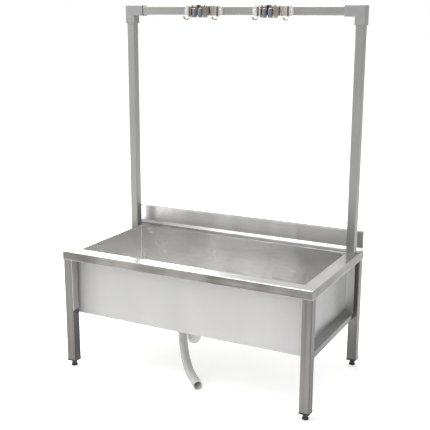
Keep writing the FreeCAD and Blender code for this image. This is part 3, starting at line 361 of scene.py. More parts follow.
@dataclass(frozen=True)
class Metal(Finish):
    """Brushed, drawn or plated metal with clouding, smears, polished edges and painted reflection stripes.
    """

    light: Colour = (0.62, 0.61, 0.60)
    dark: Colour = (0.46, 0.45, 0.44)
    rough: float = 0.3
    grain: Grain = Grain.ALONG_X
    fine: float = 900.0
    coarse: float = 130.0
    streak: float = 1.0
    cloud: float = 5.0
    # Painted reflection: soft stretched stripes of lighter and darker tone standing in for reflected light.
    painted_reflection_bands: float = 0.0
    painted_reflection_stretch: tuple[float, float, float] = (5.0, 5.0, 0.4)
    edge: float = 0.8 * MM
    depth: float = 0.02 * MM
    metallic: float = 1.0
    anisotropic: float = 0.0

    def grain_place(self, graph: Graph) -> bpy.types.NodeSocket:
        """Where the grain is read.

        Args:
            graph: The material's graph.

        Returns:
            The point, squeezed along the grain.
        """
        return graph.stretched(graph.place(), self.grain.value)

    def tones(self, graph: Graph) -> tuple[Colour, Colour]:
        """The lighter and the darker colour of the metal.

        Args:
            graph: The material's graph.

        Returns:
            The two colours, or sockets that give them.
        """
        return self.light, self.dark

    def roughness(self, graph: Graph) -> "Value | float":
        """How rough the metal is before its wear."""
        return self.rough

    def grain_share(self, graph: Graph) -> "Value | float":
        """How strongly the grain shows."""
        return self.streak

    def metal_share(self, graph: Graph) -> "Value | float":
        """How metallic the surface is."""
        return self.metallic

    def paint(self, graph: Graph) -> None:
        """Grain, clouds, smears, painted reflection stripes and polished edges.

        Args:
            graph: The empty tree.
        """
        along = self.grain_place(graph)
        fine = graph.noise(along, self.fine, 2.0)
        coarse = graph.noise(along, self.coarse, 2.0)
        cloud = graph.noise(graph.place(), self.cloud, 3.0, 0.6)
        smear = graph.noise(graph.stretched(graph.place(), (1.0, 1.6, 0.5)), 21.0, 3.0, 1.1).ramp(0.56, 0.74)
        # Painted reflection: stretched noise that lightens and darkens the tone in stripes, standing in for
        # reflected light.
        band = graph.noise(graph.stretched(graph.place(), self.painted_reflection_stretch), 1.0, 1.5, 0.5)
        wear_and_painted_shade = graph.edges(2.2 * self.edge)
        light, dark = self.tones(graph)
        share = self.grain_share(graph)
        brushed = share * (0.9 * (fine - 0.5) + 1.3 * (coarse - 0.5))
        tone = 0.5 + brushed + 1.2 * (cloud - 0.5) + self.painted_reflection_bands * (band - 0.5)
        base = graph.tint(tone - 0.03 * smear, dark, light)
        colour = graph.tint(0.55 * wear_and_painted_shade, base, POLISHED_EDGE)
        rough = (
            self.roughness(graph)
            + 0.10 * (cloud - 0.5)
            + 0.12 * share * (fine - 0.5)
            + 0.02 * smear
            - 0.08 * wear_and_painted_shade
        )
        height = share * (0.7 * fine + 0.5 * coarse)
        normal = graph.bumped(height, self.depth, graph.rounded(self.edge))
        graph.surface(
            {
                "Base Color": colour,
                "Metallic": self.metal_share(graph),
                "Roughness": rough,
                "Normal": normal,
                "Anisotropic": self.anisotropic,
                "Anisotropic Rotation": 0.25,
            }
        )


@dataclass(frozen=True)
class FrameSteel(Metal):
    """The deck's sheet: brushed along each of its four sides, mitred at the corners, with painted shade on
    its folded-down rims.
    """

    # Painted shade: the rims' darker tones and the shares that darken the rear strip and the side rims.
    rim_painted_shade_light: Colour = (0.23, 0.223, 0.217)
    rim_painted_shade_dark: Colour = (0.10, 0.096, 0.092)
    painted_rear_shade: float = 0.3
    painted_side_shade: float = 0.66
    opening: tuple[float, float, float] = (0.498, 0.242, 0.224)
    margins: tuple[float, float, float] = (0.052, 0.058, 0.076)

    def side_share(self, graph: Graph) -> Value:
        """1 on the left and right sides of the mitred frame, and 0 on its front and rear."""
        x, y, _ = graph.parts(graph.place())
        half, front, rear = self.opening
        sideways = (abs(x) - half) * (1 / self.margins[0])
        forwards = (-1.0 * y - front) * (1 / self.margins[1])
        backwards = (y - rear) * (1 / self.margins[2])
        return sideways.above(forwards.at_least(backwards))

    def grain_place(self, graph: Graph) -> bpy.types.NodeSocket:
        """Where the grain is read: along X at the front and rear, and along Y at the sides."""
        place = graph.place()
        lengthways = graph.stretched(place, Grain.ALONG_X.value)
        sideways = graph.stretched(place, Grain.ALONG_Y.value)
        return graph.choose(self.side_share(graph), lengthways, sideways)

    def tones(self, graph: Graph) -> tuple[bpy.types.NodeSocket, bpy.types.NodeSocket]:
        """Painted light on the top, painted shade behind the basin and on the folded rims."""
        across, _, upward = graph.parts(graph.facing())
        up = upward.ramp(0.3, 0.9)
        behind = (graph.parts(graph.place())[1] - self.opening[2]).above(0.0)
        side = abs(across).above(0.7)
        # Painted light and shade by facing: lit tones on the top, darker copies behind the basin, on the
        # rims and deepest on the side rims.
        pair = []
        for top, rim in ((self.light, self.rim_painted_shade_light), (self.dark, self.rim_painted_shade_dark)):
            level = graph.tint(behind, top, shaded(top, self.painted_rear_shade))
            folded = graph.tint(side, rim, shaded(rim, self.painted_side_shade))
            pair.append(graph.tint(up, folded, level))
        return pair[0], pair[1]


@dataclass(frozen=True)
class TankSteel(Metal):
    """The tank's sheet: a pale mill finish outside, a brushed one inside with painted shade to the right."""

    outside_light: Colour = (0.475, 0.472, 0.465)
    outside_dark: Colour = (0.425, 0.422, 0.416)
    outside_rough: float = 0.6
    outside_grain: float = 0.12
    outside_metal: float = 0.15
    # Painted shade: how dark the inside gets towards its right end.
    painted_right_shade: float = 0.62
    half_x: float = 0.4988
    front: float = 0.2428
    rear: float = 0.2248
    floor: float = 0.2308

    def inside(self, graph: Graph) -> Value:
        """1 on the faces that hold water, and 0 on the outer ones."""
        x, y, z = graph.parts(graph.place())
        beyond = (abs(x) - self.half_x).at_least(-1.0 * y - self.front)
        beyond = beyond.at_least(y - self.rear).at_least(self.floor - z)
        return 1.0 - beyond.above(0.0)

    def tones(self, graph: Graph) -> tuple[bpy.types.NodeSocket, bpy.types.NodeSocket]:
        """The tones of the mill finish outside and of the brushed one inside, with painted shade to the
        right.
        """
        inside = self.inside(graph)
        # Painted shade: the inside darkens smoothly towards the right end.
        right = graph.parts(graph.place())[0].ramp(-0.3, 0.5)
        pair = []
        for outer, inner in ((self.outside_light, self.light), (self.outside_dark, self.dark)):
            wear_and_painted_shade = graph.tint(right, inner, shaded(inner, self.painted_right_shade))
            pair.append(graph.tint(inside, outer, wear_and_painted_shade))
        return pair[0], pair[1]

    def roughness(self, graph: Graph) -> Value:
        """Softer outside than inside."""
        return self.outside_rough + (self.rough - self.outside_rough) * self.inside(graph)

    def grain_share(self, graph: Graph) -> Value:
        """Plain outside and brushed inside."""
        return self.outside_grain + (self.streak - self.outside_grain) * self.inside(graph)

    def metal_share(self, graph: Graph) -> Value:
        """Duller outside, where a film of oxide is left on the sheet."""
        return self.outside_metal + (self.metallic - self.outside_metal) * self.inside(graph)


@dataclass(frozen=True)
class SplashSteel(Metal):
    """The backsplash's sheet, with painted shade on its upward-facing sloping foot and on its back."""

    # Painted shade: how much darker the upward-facing foot and the rear-facing back are drawn.
    painted_foot_shade: float = 0.3
    painted_back_shade: float = 0.45

    def tones(self, graph: Graph) -> tuple[bpy.types.NodeSocket, bpy.types.NodeSocket]:
        """The tones of the upstand, and the painted shade of its foot and of its back."""
        _, along, upward = graph.parts(graph.facing())
        # Painted shade by facing: darker copies of the tones on the foot and on the back.
        foot = upward.ramp(0.3, 0.6)
        back = along.above(0.7)
        pair = []
        for tone in (self.light, self.dark):
            footed = graph.tint(foot, tone, shaded(tone, self.painted_foot_shade))
            pair.append(graph.tint(back, footed, shaded(tone, self.painted_back_shade)))
        return pair[0], pair[1]


@dataclass(frozen=True)
class PanelSteel(Metal):
    """The side panel's sheet: painted light on front-facing stiles, painted shade on upward faces and side
    lips.
    """

    # Painted light and shade by facing: a lit tone for the front-facing stiles, a shaded one for upward
    # faces, and a share that darkens the side lips.
    painted_stile_light: Colour = (0.80, 0.80, 0.79)
    painted_flange_shade: Colour = (0.22, 0.22, 0.217)
    painted_lip_shade: float = 0.5
    lip_x: float = 0.531

    def tones(self, graph: Graph) -> tuple[bpy.types.NodeSocket, bpy.types.NodeSocket]:
        """The tones of the panel, with painted light on its stiles and painted shade on the rail's upward
        faces and on the lips.
        """
        across, along, upward = graph.parts(graph.facing())
        x = graph.parts(graph.place())[0]
        # Painted light and shade by facing: darker side lips, shaded upward faces and lit front-facing
        # stiles.
        lip = abs(across).above(0.7) * abs(x).above(self.lip_x)
        pair = []
        for tone, share in ((self.light, 1.0), (self.dark, 0.8)):
            lipped = graph.tint(lip, tone, shaded(tone, self.painted_lip_shade))
            flanged = graph.tint(upward.above(0.5), lipped, shaded(self.painted_flange_shade, share))
            stiled = graph.tint(
                abs(along).above(0.7), flanged, shaded(self.painted_stile_light, share)
            )
            pair.append(stiled)
        return pair[0], pair[1]


@dataclass(frozen=True)
class LegSteel(Metal):
    """The leg tube: painted shade darkens its side faces, and painted reflection lightens the faces beside
    the apron.
    """

    # Painted shade on the side faces, and a painted reflection in pale tones on the inner faces beside the
    # apron.
    painted_side_shade: float = 0.62
    pale: Colour = (0.56, 0.555, 0.545)
    pale_dark: Colour = (0.44, 0.435, 0.425)
    apron_foot: float = 0.255
    apron_near: float = 0.25

    def tones(self, graph: Graph) -> tuple[bpy.types.NodeSocket, bpy.types.NodeSocket]:
        """The tones of the front, of the painted-shade sides and of the painted-reflection faces beside the
        apron.
        """
        across = graph.parts(graph.facing())[0]
        x, y, z = graph.parts(graph.place())
        # Painted shade on side faces and painted reflection on inner faces beside the apron, both by facing.
        side = abs(across).above(0.7)
        inner = (-1.0 * across * x).above(0.3)
        beside = inner * z.above(self.apron_foot) * (-1.0 * y).above(self.apron_near)
        pair = []
        for tone, pale in ((self.light, self.pale), (self.dark, self.pale_dark)):
            sided = graph.tint(side, tone, shaded(tone, self.painted_side_shade))
            pair.append(graph.tint(beside, sided, pale))
        return pair[0], pair[1]


@dataclass(frozen=True)
class Moulding(Finish):
    """Moulded plastic or rubber with a fine sparked grain, scuffs and paler edges."""

    base: Colour = (0.30, 0.30, 0.30)
    edge_colour: Colour = (0.42, 0.42, 0.42)
    rough: float = 0.45
    grain: float = 1400.0
    depth: float = 0.05 * MM
    mottle: float = 0.12
    edge: float = 0.6 * MM
    depth_glow: float = 0.0
    coat: float = 0.0

    def paint(self, graph: Graph) -> None:
        """Grain, mottling, scuffs and worn edges.

        Args:
            graph: The empty tree.
        """
        place = graph.place()
        sparked = graph.noise(place, self.grain, 2.0)
        mottle = graph.noise(place, 38.0, 4.0, 0.4)
        scuff = graph.noise(graph.stretched(place, (1.0, 1.0, 0.35)), 160.0, 3.0, 1.5).ramp(0.6, 0.72)
        wear_and_painted_shade = graph.edges(2.5 * self.edge)
        pale, deep = shaded(self.base, 1 + self.mottle), shaded(self.base, 1 - self.mottle)
        base = graph.tint(mottle.ramp(0.25, 0.75), deep, pale)
        colour = graph.tint(0.5 * wear_and_painted_shade + 0.18 * scuff, base, self.edge_colour)
        rough = self.rough + 0.12 * (mottle - 0.5) + 0.10 * scuff + 0.08 * (sparked - 0.5)
        normal = graph.bumped(sparked + 0.3 * scuff, self.depth, graph.rounded(self.edge))
        graph.surface(
            {
                "Base Color": colour,
                "Roughness": rough,
                "Normal": normal,
                "Subsurface Weight": self.depth_glow,
                "Subsurface Scale": 4 * MM,
                "Coat Weight": self.coat,
                "Coat Roughness": 0.25,
            }
        )


DECK_STEEL = FrameSteel(
    "deck_sheet",
    light=(0.72, 0.716, 0.708),
    dark=(0.61, 0.606, 0.598),
    rough=0.22,
    streak=0.9,
    painted_reflection_bands=1.6,
    painted_reflection_stretch=(6.0, 6.0, 3.0),
    edge=2.0 * MM,
)
TANK_STEEL = TankSteel(
    "tank_sheet",
    light=(0.98, 0.977, 0.97),
    dark=(0.78, 0.777, 0.77),
    rough=0.25,
    streak=0.5,
    painted_reflection_bands=2.2,
    painted_reflection_stretch=(4.5, 4.5, 1.2),
    depth=0.012 * MM,
)
SPLASH_STEEL = SplashSteel(
    "backsplash_sheet",
    light=(0.88, 0.876, 0.867),
    dark=(0.68, 0.677, 0.67),
    rough=0.33,
    grain=Grain.ALONG_X,
    streak=0.5,
    painted_reflection_bands=2.0,
    painted_reflection_stretch=(9.0, 9.0, 0.3),
    anisotropic=0.2,
)
PANEL_STEEL = PanelSteel(
    "side_panel_sheet",
    light=(0.27, 0.27, 0.267),
    dark=(0.18, 0.18, 0.178),
    rough=0.3,
    grain=Grain.ALONG_Y,
    streak=0.5,
    painted_reflection_bands=1.2,
)
LEG_STEEL = LegSteel(
    "leg_tube",
    light=(0.21, 0.201, 0.194),
    dark=(0.115, 0.110, 0.106),
    rough=0.32,
    grain=Grain.ALONG_Z,
    streak=0.9,
    cloud=3.0,
    painted_reflection_bands=0.8,
    painted_reflection_stretch=(60.0, 60.0, 0.6),
)
POST_TUBE = Metal(
    "post_tube",
    light=(0.32, 0.322, 0.313),
    dark=(0.25, 0.252, 0.245),
    rough=0.42,
    grain=Grain.ALONG_Z,
    coarse=220.0,
    streak=0.4,
    cloud=2.5,
)
BAR_TUBE = Metal(
    "bar_tube",
    light=(0.32, 0.318, 0.303),
    dark=(0.26, 0.258, 0.246),
    rough=0.42,
    grain=Grain.ALONG_X,
    coarse=220.0,
    streak=0.4,
    cloud=2.5,
)
ELBOW_PLASTIC = Moulding(
    "elbow_moulding", base=(0.195, 0.192, 0.193), edge_colour=(0.31, 0.31, 0.31), rough=0.42, mottle=0.05
)
BLACK_PLASTIC = Moulding(
    "black_moulding", base=(0.009, 0.009, 0.0095), edge_colour=(0.04, 0.04, 0.04), rough=0.5, mottle=0.25
)
HOLDER_STEEL = Metal(
    "holder_plate_steel",
    light=(0.72, 0.715, 0.70),
    dark=(0.60, 0.595, 0.58),
    rough=0.3,
    streak=0.6,
    edge=0.5 * MM,
)
GRIPPER_STEEL = Metal(
    "gripper_steel",
    light=(0.52, 0.46, 0.39),
    dark=(0.33, 0.29, 0.25),
    rough=0.26,
    grain=Grain.EVEN,
    fine=500.0,
    streak=0.6,
    edge=0.4 * MM,
)
HOOK_STEEL = Metal(
    "hook_strap_steel",
    light=(0.27, 0.225, 0.20),
    dark=(0.13, 0.105, 0.092),
    rough=0.2,
    grain=Grain.ALONG_Y,
    streak=0.7,
    edge=0.5 * MM,
)
ZINC = Metal(
    "zinc_plate",
    light=(0.60, 0.62, 0.64),
    dark=(0.40, 0.41, 0.42),
    rough=0.33,
    grain=Grain.EVEN,
    fine=420.0,
    coarse=160.0,
    streak=0.7,
    cloud=30.0,
    edge=0.3 * MM,
)
STRAINER_STEEL = Metal(
    "strainer_steel",
    light=(0.72, 0.715, 0.70),
    dark=(0.55, 0.545, 0.53),
    rough=0.2,
    grain=Grain.EVEN,
    edge=0.4 * MM,
)
ROLLER_RUBBER = Moulding(
    "roller_sleeve",
    base=(0.10, 0.11, 0.13),
    edge_colour=(0.19, 0.205, 0.23),
    rough=0.55,
    grain=700.0,
    mottle=0.14,
)
SPRING_BLACK = Moulding(
    "spring_coating", base=(0.012, 0.012, 0.013), edge_colour=(0.06, 0.06, 0.06), rough=0.3, edge=0.2 * MM
)
GASKET_RUBBER = Moulding("gasket_rubber", base=(0.02, 0.02, 0.02), edge_colour=(0.07, 0.07, 0.07), rough=0.7)
TRAP_PLASTIC = Moulding(
    "trap_moulding",
    base=(0.66, 0.66, 0.65),
    edge_colour=(0.82, 0.82, 0.81),
    rough=0.34,
    grain=900.0,
    depth=0.02 * MM,
    mottle=0.05,
    depth_glow=0.25,
    coat=0.25,
)
HOSE_PLASTIC = Moulding(
    "hose_moulding",
    base=(0.50, 0.50, 0.495),
    edge_colour=(0.62, 0.62, 0.615),
    rough=0.45,
    grain=900.0,
    depth=0.02 * MM,
    mottle=0.06,
    edge=0.4 * MM,
    depth_glow=0.3,
    coat=0.2,
)

# Painted light: a lighter copy of the hose moulding for the hose's inner wall.
HOSE_INSIDE_PAINTED_LIGHT = Moulding(
    "hose_inside_painted_light", base=(0.62, 0.62, 0.61), edge_colour=(0.72, 0.72, 0.71), rough=0.5, mottle=0.05
)


def dress(finish: Finish, nodes: Iterable[str]) -> None:
    """Give CAD nodes a finish.

    Args:
        finish: The finish.
        nodes: The nodes' names.
    """
    for name in nodes:
        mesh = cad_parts[name].data
        mesh.materials.clear()
        mesh.materials.append(finish.material())
        LOG.info("dressed %s in %s", name, finish.name)


def middle(node: str) -> Vector:
    """The centre of a CAD node's box."""
    low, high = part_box(node)
    return (low + high) / 2


def towards(origin: Vector, axis: Vector) -> Matrix:
    """The frame at a point whose own Z is the given axis.

    Args:
        origin: The frame's origin.
        axis: The direction of its Z.

    Returns:
        The matrix from that frame to the row frame.
    """
    return Matrix.Translation(origin) @ axis.normalized().to_track_quat("Z", "Y").to_matrix().to_4x4()


class Draft:
    """A mesh in the making."""

    def __init__(self) -> None:
        """Start with nothing."""
        self.points: list[Vector] = []
        self.faces: list[tuple[int, ...]] = []

    def loft(self, rings: Sequence[Sequence[Vector]], capped: bool = False) -> None:
        """Join closed rings that have equally many points, in order.

        Args:
            rings: The rings, each with its points in order.
            capped: Whether the two end rings are closed with a face.
        """
        first = len(self.points)
        around = len(rings[0])
        for ring in rings:
            self.points.extend(ring)
        for low in range(len(rings) - 1):
            for index in range(around):
                here = first + low * around + index
                beside = first + low * around + (index + 1) % around
                self.faces.append((here, beside, beside + around, here + around))
        if capped:
            last = first + (len(rings) - 1) * around
            self.faces.append(tuple(reversed(range(first, first + around))))
            self.faces.append(tuple(range(last, last + around)))

    def lathe(
        self,
        profile: Sequence[tuple[float, float]],
        place: Matrix,
        around: int = 32,
        shape: Shape | None = None,
    ) -> None:
        """Turn a profile about the Z axis of a frame. A profile that ends on the axis is closed there.

        Args:
            profile: Radius and height of each point, in millimetres.
            place: The frame's matrix.
            around: How many points go round.
            shape: Moves a point of the frame, given the point and its angle, before it is placed.
        """
        rings = []
        for radius, height in profile:
            ring = []
            for index in range(around):
                angle = FULL_TURN * index / around
                spot = Vector((radius * math.cos(angle), radius * math.sin(angle), height))
                if shape is not None:
                    spot = shape(spot, angle)
                ring.append(place @ (spot * MM))
            rings.append(ring)
        self.loft(rings)

    def tube(self, path: Sequence[Vector], radii: Sequence[float], around: int, capped: bool) -> None:
        """A tube along a path.

        Args:
            path: The points of its centreline.
            radii: Its radius at each point.
            around: How many points go round.
            capped: Whether its ends are closed.
        """
        rings = []
        side = (path[1] - path[0]).orthogonal().normalized()
        for index, spot in enumerate(path):
            ahead = path[min(index + 1, len(path) - 1)] - path[max(index - 1, 0)]
            along = ahead.normalized()
            side = (side - along * side.dot(along)).normalized()
            across = along.cross(side)
            ring = []
            for step in range(around):
                angle = FULL_TURN * step / around
                out = side * math.cos(angle) + across * math.sin(angle)
                ring.append(spot + out * radii[index])
            rings.append(ring)
        self.loft(rings, capped)

    def piece(
        self,
        name: str,
        finish: Finish,
        body: str,
        replaced: Sequence[str] = (),
        crease: float = 35.0,
    ) -> bpy.types.Object:
        """Make the mesh an object that rides on a body.

        Args:
            name: The piece's name.
            finish: Its finish.
            body: The body that it rides on.
            replaced: The CAD nodes that it stands for.
            crease: Edges sharper than this many degrees stay sharp.

        Returns:
            The object.
        """
        mesh = bpy.data.meshes.new(name)
        mesh.from_pydata([tuple(point) for point in self.points], [], self.faces)
        mesh.validate()
        self.weld(mesh)
        mesh.shade_smooth()
        mesh.set_sharp_from_angle(angle=math.radians(crease))
        mesh.materials.append(finish.material())
        made = bpy.data.objects.new(name, mesh)
        bpy.context.scene.collection.objects.link(made)
        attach(made, body)
        if replaced:
            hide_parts(*replaced)
        LOG.info("made %s on %s, %d faces", name, body, len(mesh.polygons))
        return made

    @staticmethod
    def weld(mesh: bpy.types.Mesh) -> None:
        """Merge points that meet, drop faces with no area and turn every face outwards.

        Args:
            mesh: The mesh.
        """
        edit = bmesh.new()
        edit.from_mesh(mesh)
        bmesh.ops.remove_doubles(edit, verts=edit.verts, dist=MERGE_WITHIN)
        bmesh.ops.dissolve_degenerate(edit, dist=MERGE_WITHIN, edges=edit.edges)
        bmesh.ops.recalc_face_normals(edit, faces=edit.faces)
        edit.to_mesh(mesh)
        edit.free()


def fluted(count: int, depth: float, low: float, high: float) -> Shape:
    """Flutes round a turned piece.

    Args:
        count: How many flutes.
        depth: How deep they are, in millimetres.
        low: Where the fluted band begins.
        high: Where it ends.

    Returns:
        The shape that cuts them.
    """

    def cut(spot: Vector, angle: float) -> Vector:
        """Draw a point in towards the axis where a flute is."""
        if not low < spot.z < high:
            return spot
        fade = min(1.0, (spot.z - low) / depth, (high - spot.z) / depth)
        radius = math.hypot(spot.x, spot.y)
        sunk = radius - depth * fade * (0.5 - 0.5 * math.cos(count * angle))
        return Vector((math.cos(angle) * sunk, math.sin(angle) * sunk, spot.z))

    return cut


@dataclass
class Screw:
    """A pan-head screw with a cross recess."""

    head: float = 4.75
    rise: float = 2.25
    shank: float = 2.5
    length: float = 3.6
    slot_half: float = 0.62
    slot_reach: float = 2.3
    slot_depth: float = 1.25

    def recess(self, spot: Vector, angle: float) -> Vector:
        """Sink the points of the head that lie in the cross."""
        if spot.z < self.rise / 2:
            return spot
        arms = ((spot.x, spot.y), (spot.y, spot.x))
        if any(abs(a) <= self.slot_half and abs(b) <= self.slot_reach for a, b in arms):
            out = math.hypot(spot.x, spot.y) / self.slot_reach
            spot.z -= self.slot_depth * (1 - 0.6 * out)
        return spot

    def add(self, draft: Draft, origin: Vector, axis: Vector) -> None:
        """Add the screw to a draft.

        Args:
            draft: The draft.
            origin: The middle of the head's seat.
            axis: The direction that the head looks in.
        """
        steps = 14
        crown = [(0.0, self.rise)]
        for index in range(1, steps + 1):
            share = index / steps
            crown.append((self.head * 0.93 * share, self.rise * (1 - 0.32 * share**3)))
        profile = crown + [
            (self.head * 0.985, self.rise * 0.52),
            (self.head, self.rise * 0.3),
            (self.head * 0.985, 0.0),
            (self.shank, 0.0),
            (self.shank, -self.length),
            (0.0, -self.length),
        ]
        draft.lathe(profile, towards(origin, axis), 48, self.recess)


@dataclass
class Tank:
    """The deck, basin, backsplash and side panels."""

    nodes: dict[str, Finish] = field(
        default_factory=lambda: {
            "deck": DECK_STEEL,
            **{f"basin_{part}": TANK_STEEL for part in ("floor", "front", "rear", "left", "right")},
            "backsplash": SPLASH_STEEL,
            "side_panel_left": PANEL_STEEL,
            "side_panel_right": PANEL_STEEL,
        }
    )
    weld: float = 6.0

    def build(self) -> None:
        """Dress the sheet metal and build the ground welds in the basin's corners."""
        for name, finish in self.nodes.items():
            dress(finish, [name])
        self.welds()

    def welds(self) -> None:
        """Build the hollow fillet that the polished welds leave along the basin's inner edges."""
        left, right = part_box("basin_left")[1].x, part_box("basin_right")[0].x
        front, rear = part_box("basin_front")[1].y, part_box("basin_rear")[0].y
        low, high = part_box("basin_floor")[1].z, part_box("basin_rear")[1].z
        up, along_x, along_y = Vector((0.0, 0.0, 1.0)), Vector((1.0, 0.0, 0.0)), Vector((0.0, 1.0, 0.0))
        draft = Draft()
        for x, inward_x in ((left, along_x), (right, -along_x)):
            self.bead(draft, Vector((x, front, low)), Vector((x, rear, low)), inward_x, up)
            for y, inward_y in ((front, along_y), (rear, -along_y)):
                self.bead(draft, Vector((x, y, low)), Vector((x, y, high)), inward_x, inward_y)
        for y, inward_y in ((front, along_y), (rear, -along_y)):
            self.bead(draft, Vector((left, y, low)), Vector((right, y, low)), inward_y, up)
        draft.piece("basin_weld_fillets", TANK_STEEL, "sink", (), 50.0)

    def bead(self, draft: Draft, start: Vector, end: Vector, first: Vector, second: Vector) -> None:
        """Add one fillet to a draft.

        Args:
            draft: The draft.
            start: Where the corner line begins.
            end: Where it ends.
            first: The direction of one sheet, away from the corner.
            second: The direction of the other sheet, away from the corner.
        """
        rings = []
        for spot in (start, end):
            ring = [spot]
            for step in range(9):
                angle = math.pi / 2 * step / 8
                out = first * (1 - math.sin(angle)) + second * (1 - math.cos(angle))
                ring.append(spot + out * (self.weld * MM))
            rings.append(ring)
        draft.loft(rings, True)


@dataclass
class Legs:
    """Four square legs with end plugs and screw feet."""

    pad: float = 13.0
    neck: float = 10.0
    pad_height: float = 21.0
    spindle: float = 5.0
    spindle_height: float = 57.0
    thread_pitch: float = 1.5
    thread_depth: float = 0.5
    flutes: int = 8

    def build(self) -> None:
        """Dress the tubes and plugs and build the feet."""
        for corner in ("front_left", "front_right", "rear_left", "rear_right"):
            dress(LEG_STEEL, [f"leg_{corner}"])
            dress(BLACK_PLASTIC, [f"leg_plug_{corner}"])
            self.foot(corner)

    def foot(self, corner: str) -> None:
        """Build one screw foot.

        Args:
            corner: The corner's name.
        """
        centre = middle(f"foot_{corner}")
        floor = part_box(f"foot_{corner}")[0].z
        profile = [
            (0.0, 0.0),
            (self.pad - 2.6, 0.0),
            (self.pad - 0.8, 0.5),
            (self.pad, 1.8),
            (self.pad, 4.4),
            (self.pad - 0.5, 5.1),
            (self.pad - 1.4, 5.6),
            (self.pad - 1.6, 6.4),
            (self.neck + 0.9, 11.0),
            (self.neck + 0.4, 16.0),
            (self.neck, 18.6),
            (self.neck, 20.0),
            (self.neck - 0.8, self.pad_height),
            (self.spindle + 0.2, self.pad_height),
        ]
        height = self.pad_height
        while height < self.spindle_height - self.thread_pitch:
            profile.append((self.spindle - self.thread_depth, height))
            profile.append((self.spindle, height + self.thread_pitch / 2))
            height += self.thread_pitch
        profile += [(self.spindle - 0.8, self.spindle_height), (0.0, self.spindle_height)]
        draft = Draft()
        place = Matrix.Translation(Vector((centre.x, centre.y, floor)))
        draft.lathe(profile, place, 64, fluted(self.flutes, 1.1, 6.5, 18.4))
        name = f"foot_{corner}"
        draft.piece(f"{name}_moulded", BLACK_PLASTIC, name, [name], 30.0)


@dataclass
class Arch:
    """Two posts and the bar between them, with their elbows, screws, inserts and bolts."""

    screw: Screw = field(default_factory=Screw)
    inset: float = 15.0

    def build(self) -> None:
        """Dress the tubes and build the elbow screws."""
        dress(POST_TUBE, ["post_left", "post_right"])
        dress(BAR_TUBE, ["top_bar"])
        dress(ELBOW_PLASTIC, ["corner_elbow_left", "corner_elbow_right"])
        dress(BLACK_PLASTIC, ["post_inserts"])
        dress(ZINC, ["post_bolts"])
        draft = Draft()
        for side, sign in (("left", -1), ("right", 1)):
            low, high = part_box(f"corner_elbow_{side}")
            post = middle(f"post_{side}")
            bar = middle("top_bar")
            inner = high.x if sign < 0 else low.x
            rear = Vector((0.0, 1.0, 0.0))
            self.screw.add(draft, Vector((inner + sign * self.inset * MM, high.y, bar.z)), rear)
            self.screw.add(draft, Vector((post.x, high.y, low.z + self.inset * MM)), rear)
        draft.piece("elbow_screws_cross", ZINC, "sink", ["elbow_screws"], 40.0)


